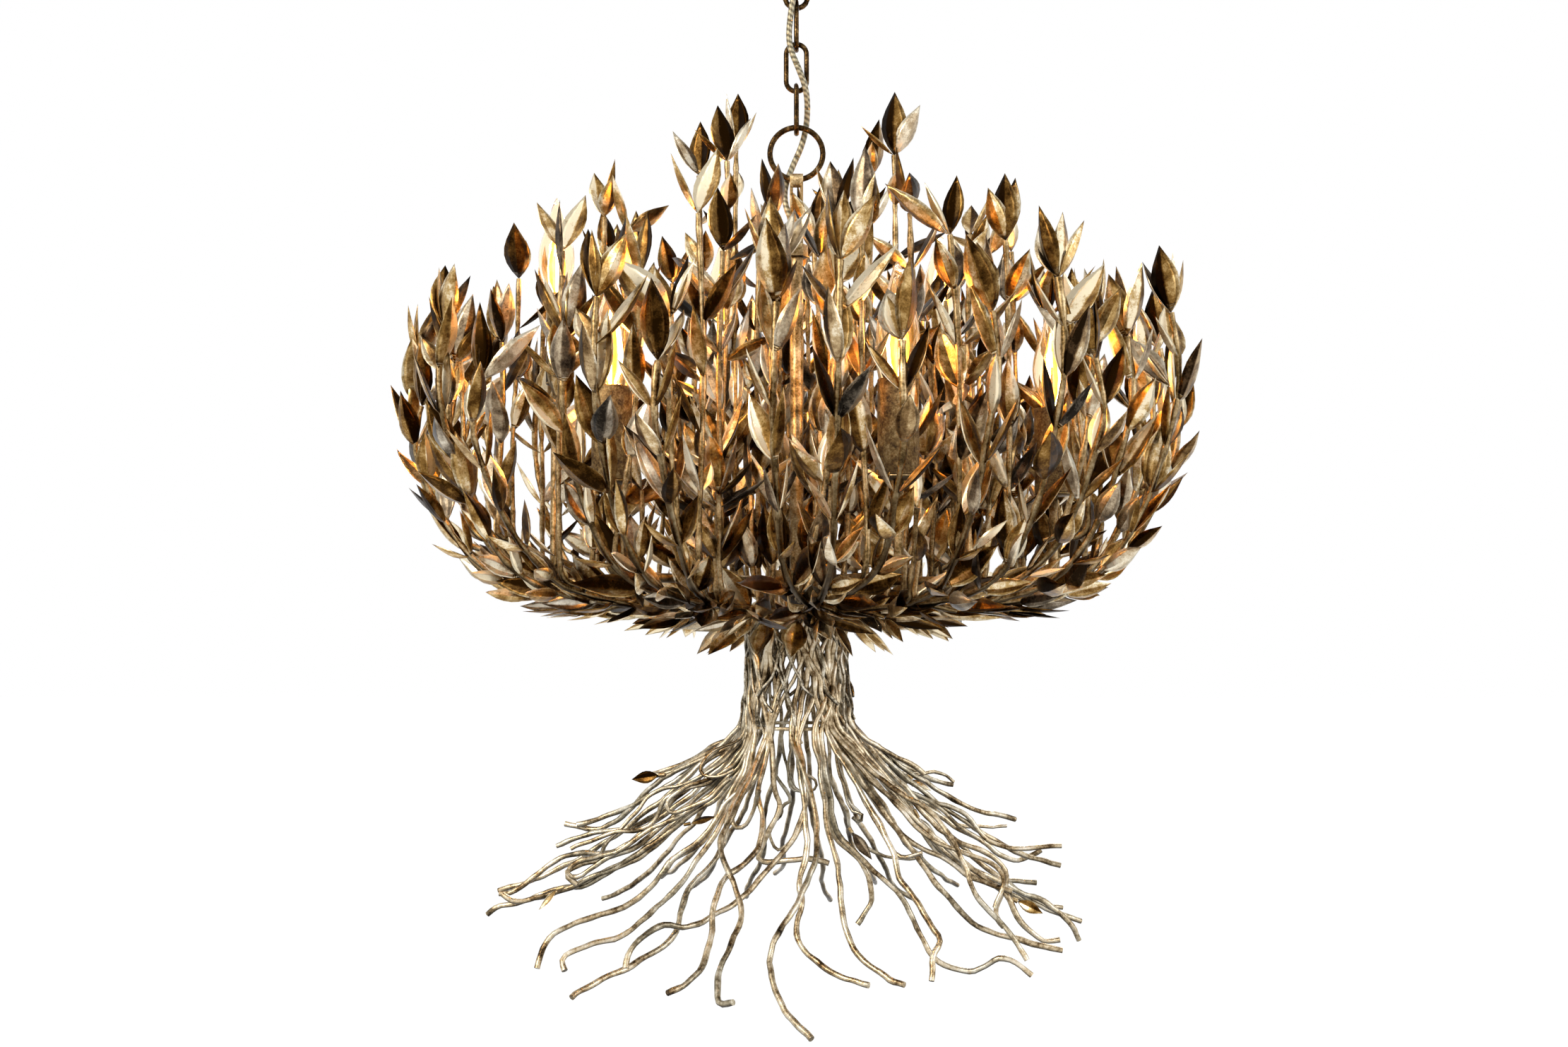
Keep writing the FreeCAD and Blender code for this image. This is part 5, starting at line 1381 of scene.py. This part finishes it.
# The bulb's base: radius and height over the bulb's foot
BASE_OUTLINE = ((0, -0.018), (0.003, -0.018), (0.006, -0.015), (0.006, 0), (BULB_NECK, 0),
                (BULB_NECK, 0.0012), (0, 0.0012))
SOCKET_RADIUS = 0.0076
SOCKET_BORE = 0.0065
SOCKET_SHORT = 0.002
SOCKET_SIDES = 28
SLEEVE_WALL = 0.001
SLEEVE_EASE = (0.0003, 0.0006)
SLEEVE_SIDES = 40
SEAT_GAP = 0.0003
ARM_START = 0.0223
ARM_LEVEL = 0.028
ARM_BEND = 0.014
ARM_RADIUS = 0.004
ARM_BEND_STEPS = 8
ARM_SIDES = 16
ARM_END_IN_SEAT = 0.001
# A seat's outline from its middle below: share of its radius, cut from it, and height over its foot
SEAT_HEIGHT = 0.003
SEAT_SIDES = 32
SEAT_OUTLINE = ((0, 0, 0), (0.7, 0, 0), (0.93, 0, 0.0006), (1, 0, 0.0016), (1, 0, 0.0025),
                (1, 0.0006, 0.003), (0, 0, 0.003))
GLOW_HEIGHT = 0.045
GLOW_ENERGY = 3.2
GLOW_SIZE = 0.008


def make_lamp_arm(number, seat_level, seat_radius):
    """A bent tube from the drum to the lamp, with a dished seat at its end."""
    angle = FIRST_LAMP_ANGLE + LAMP_STEP * number
    points = [polar(ARM_START, angle, ARM_LEVEL)]
    for step in range(ARM_BEND_STEPS + 1):
        turn = math.pi / 2 * step / ARM_BEND_STEPS
        points.append(polar(LAMP_RING_RADIUS - ARM_BEND + ARM_BEND * math.sin(turn), angle,
                            ARM_LEVEL + ARM_BEND - ARM_BEND * math.cos(turn)))
    foot = seat_level - SEAT_GAP - SEAT_HEIGHT
    points.append(polar(LAMP_RING_RADIUS, angle, foot + ARM_END_IN_SEAT))
    shape = bmesh.new()
    add_tube(shape, points, ARM_RADIUS, ARM_SIDES)
    outline = [(seat_radius * share - cut, foot + height) for share, cut, height in SEAT_OUTLINE]
    add_turned(shape, outline, SEAT_SIDES, lamp_centre(number))
    piece = mesh_piece("bent_arm_%d" % (number + 1), shape, antique_brass_stem)
    hang_on(piece, "chandelier", "antique_brass", "lamp_arm_%d" % (number + 1))


def add_bulb(glass, bases, filaments, number, foot):
    """A flame bulb on its foot's level: a thin envelope, its metal base and the filament's strands."""
    centre = lamp_centre(number)
    outer = [(BULB_NECK * wide, foot + BULB_LENGTH * high) for wide, high in BULB_OUTLINE]
    outer.append((0, foot + BULB_LENGTH))
    inner = [(0, foot + BULB_LENGTH - BULB_TIP_WALL)]
    for wide, high in reversed(BULB_OUTLINE[:-2]):
        inner.append((max(BULB_NECK * wide - BULB_WALL, LEAST_BULB_BORE), foot + BULB_LENGTH * high))
    add_turned(glass, outer + inner, BULB_SIDES, centre)
    base = [(radius, foot + height) for radius, height in BASE_OUTLINE]
    add_turned(bases, base, BULB_BASE_SIDES, centre)
    for strand_number in range(FILAMENT_COUNT):
        turn = math.radians(FIRST_LAMP_ANGLE + LAMP_STEP * number + 360.0 * strand_number / FILAMENT_COUNT)
        across = Vector((math.cos(turn), math.sin(turn), 0))
        strand = []
        for wide, high in FILAMENT_LINE:
            strand.append(centre + across * wide + Vector((0, 0, foot + BULB_LENGTH * high)))
        add_tube(filaments, strand, FILAMENT_GAUGES, FILAMENT_SIDES, finish=strand_number % 2)


def add_glow(number, level):
    """A small warm lamp inside a bulb, which swings with it."""
    data = bpy.data.lights.new("bulb glow", "POINT")
    data.energy = GLOW_ENERGY
    data.color = colour("#ffac42")[:3]
    data.shadow_soft_size = GLOW_SIZE
    glow = new_object("bulb_glow_%d" % (number + 1), data)
    glow.location = lamp_centre(number) + Vector((0, 0, level))
    glow.parent = frame["bodies"]["chandelier"]


def make_lamps():
    for name, numbers, top, radius, length, sleeve_finish in LAMP_SETS:
        seat_level = top - length
        bore = radius - SLEEVE_WALL
        inset, ease = SLEEVE_EASE
        sleeve = ((radius, seat_level), (radius, top - ease), (radius - inset, top), (bore + inset, top),
                  (bore, top - ease), (bore, seat_level))
        socket = ((SOCKET_RADIUS, seat_level), (SOCKET_RADIUS, top - SOCKET_SHORT),
                  (SOCKET_BORE, top - SOCKET_SHORT), (SOCKET_BORE, seat_level))
        sleeves, glass, bases, filaments, sockets = [bmesh.new() for _ in range(5)]
        for number in numbers:
            make_lamp_arm(number, seat_level, radius)
            add_turned(sleeves, sleeve, SLEEVE_SIDES, lamp_centre(number))
            add_bulb(glass, bases, filaments, number, top + SEAT_GAP)
            add_turned(sockets, socket, SOCKET_SIDES, lamp_centre(number))
        for kind, shape, slot, node, *finishes in (
            ("candle_sleeves", sleeves, "aged_sleeve", "sleeves", sleeve_finish),
            ("bulb_glass", glass, "clear_glass", "bulbs", clear_glass),
            ("bulb_bases", bases, "antique_brass", "bulbs", antique_brass_stem),
            ("filaments", filaments, "clear_glass", "bulbs", filament_glow, amber_glow),
            ("lamp_sockets", sockets, "socket_plastic", "sockets", black_phenolic),
        ):
            piece = mesh_piece("%s_%s" % (name, kind), shape, *finishes)
            piece.visible_shadow = kind != "bulb_glass"
            hang_on(piece, "chandelier", slot, "%s_%s" % (name, node))
        for number in numbers:
            add_glow(number, top + GLOW_HEIGHT)


make_lamps()


# Metal parts kept from the frame: copies with eased edges

FLAT_ANGLE = math.radians(1)
EASED_ANGLE = math.radians(35)
SHARP_ANGLE = math.radians(40)


def eased_copy(node, name, ease, finish):
    """A copy of a CAD node with its doubles merged and its sharp edges rounded."""
    piece = new_object(name, frame["nodes"][node].data.copy())
    shape = bmesh.new()
    shape.from_mesh(piece.data)
    bmesh.ops.remove_doubles(shape, verts=shape.verts, dist=MERGE_DISTANCE)
    bmesh.ops.dissolve_limit(shape, angle_limit=FLAT_ANGLE, verts=shape.verts, edges=shape.edges)
    shape.to_mesh(piece.data)
    shape.free()
    bevel = piece.modifiers.new("ease", "BEVEL")
    bevel.width = ease
    bevel.segments = 2
    bevel.limit_method = "ANGLE"
    bevel.angle_limit = EASED_ANGLE
    eased = settled(piece)
    eased.data.materials.clear()
    eased.data.materials.append(finish)
    for face in eased.data.polygons:
        face.material_index = 0
    eased.data.shade_smooth()
    eased.data.set_sharp_from_angle(angle=SHARP_ANGLE)
    return eased


for body, slot, finish, copies in (
    ("ceiling_body", "dark_bronze", dark_bronze, (
        ("canopy", "spun_canopy", 0.0006),
        ("canopy_crossbar", "pressed_crossbar", 0.0003),
        ("canopy_screws", "canopy_round_screws", 0.0003),
        ("canopy_nut", "canopy_hex_nut", 0.0004),
        ("canopy_loop", "threaded_loop", 0.0004),
    )),
    ("chandelier", "antique_brass", antique_brass_stem, (
        ("stem_strap", "bent_strap", 0.0003),
        ("stem_coupling", "hex_coupling", 0.0005),
        ("stem_tube", "stem_pipe", 0.0004),
        ("hub_plate", "cut_hub_plate", 0.0004),
        ("hub_nut", "hub_hex_nut", 0.0004),
        ("arm_hub", "arm_drum", 0.0006),
    )),
    ("chandelier", "champagne_wire", champagne_wire, (("trunk_foot_ring", "foot_ring", 0.0004),)),
):
    for node, name, ease in copies:
        hang_on(eased_copy(node, name, ease, finish), body, slot, node)


# Studio: pale floor far below, a white world and soft lamps

FLOOR_LEVEL = -2.3
FLOOR_REACH = 30
FLOOR_GLOW = 1.2
FLOOR_GLOW_SHARE = 0.8
WORLD_LIGHT = 0.55
LAMP_AIM = Vector((0, 0, -0.55))


def seen_in_metal(tree):
    """1 for rays that a metal or glass surface sends on, and 0 for the light that falls on things."""
    rays = add_node(tree, "ShaderNodeLightPath")
    seen = rays
    for name in ("Is Glossy Ray", "Is Transmission Ray"):
        seen = add_node(tree, "ShaderNodeMath", {0: seen, 1: rays.node.outputs[name]}, operation="MAXIMUM")
    return seen


def make_world():
    world = bpy.data.worlds.new("studio")
    world.use_nodes = True
    tree = world.node_tree
    tree.nodes.clear()
    strength = add_node(tree, "ShaderNodeMapRange", {"Value": seen_in_metal(tree), "To Min": WORLD_LIGHT})
    light = add_node(tree, "ShaderNodeBackground", {"Color": (1, 1, 1, 1), "Strength": strength})
    add_node(tree, "ShaderNodeOutputWorld", {"Surface": light})
    scene.world = world


def make_floor():
    shape = bmesh.new()
    bmesh.ops.create_grid(shape, x_segments=1, y_segments=1, size=FLOOR_REACH)
    bmesh.ops.translate(shape, verts=shape.verts, vec=(0, 0, FLOOR_LEVEL))
    material, tree = new_material("pale floor")
    matte = add_node(tree, "ShaderNodeBsdfPrincipled", {"Base Color": colour("#f4f4f2"), "Roughness": 0.9})
    bright = add_node(tree, "ShaderNodeEmission", {"Color": (1, 1, 1, 1), "Strength": FLOOR_GLOW})
    share = add_node(tree, "ShaderNodeMath", {0: seen_in_metal(tree), 1: FLOOR_GLOW_SHARE},
                     operation="MULTIPLY")
    shader = add_node(tree, "ShaderNodeMixShader", {0: share, 1: matte, 2: bright})
    add_node(tree, "ShaderNodeOutputMaterial", {"Surface": shader})
    floor = mesh_piece("floor", shape, material)


def make_studio_lamps():
    for name, place, size, energy, code in (
        ("key", (-1.7, -2.0, 0.9), 0.9, 55.0, "#fff4e4"),
        ("fill", (2.2, -1.4, 0.2), 1.4, 18.0, "#eef3ff"),
        ("back", (0.6, 2.2, 1.0), 1.2, 25.0, "#ffffff"),
    ):
        data = bpy.data.lights.new(name, "AREA")
        data.shape = "DISK"
        data.size = size
        data.energy = energy
        data.color = colour(code)[:3]
        lamp = new_object(name, data)
        lamp.location = place
        lamp.rotation_euler = (LAMP_AIM - Vector(place)).to_track_quat("-Z", "Y").to_euler()


make_world()
make_floor()
make_studio_lamps()
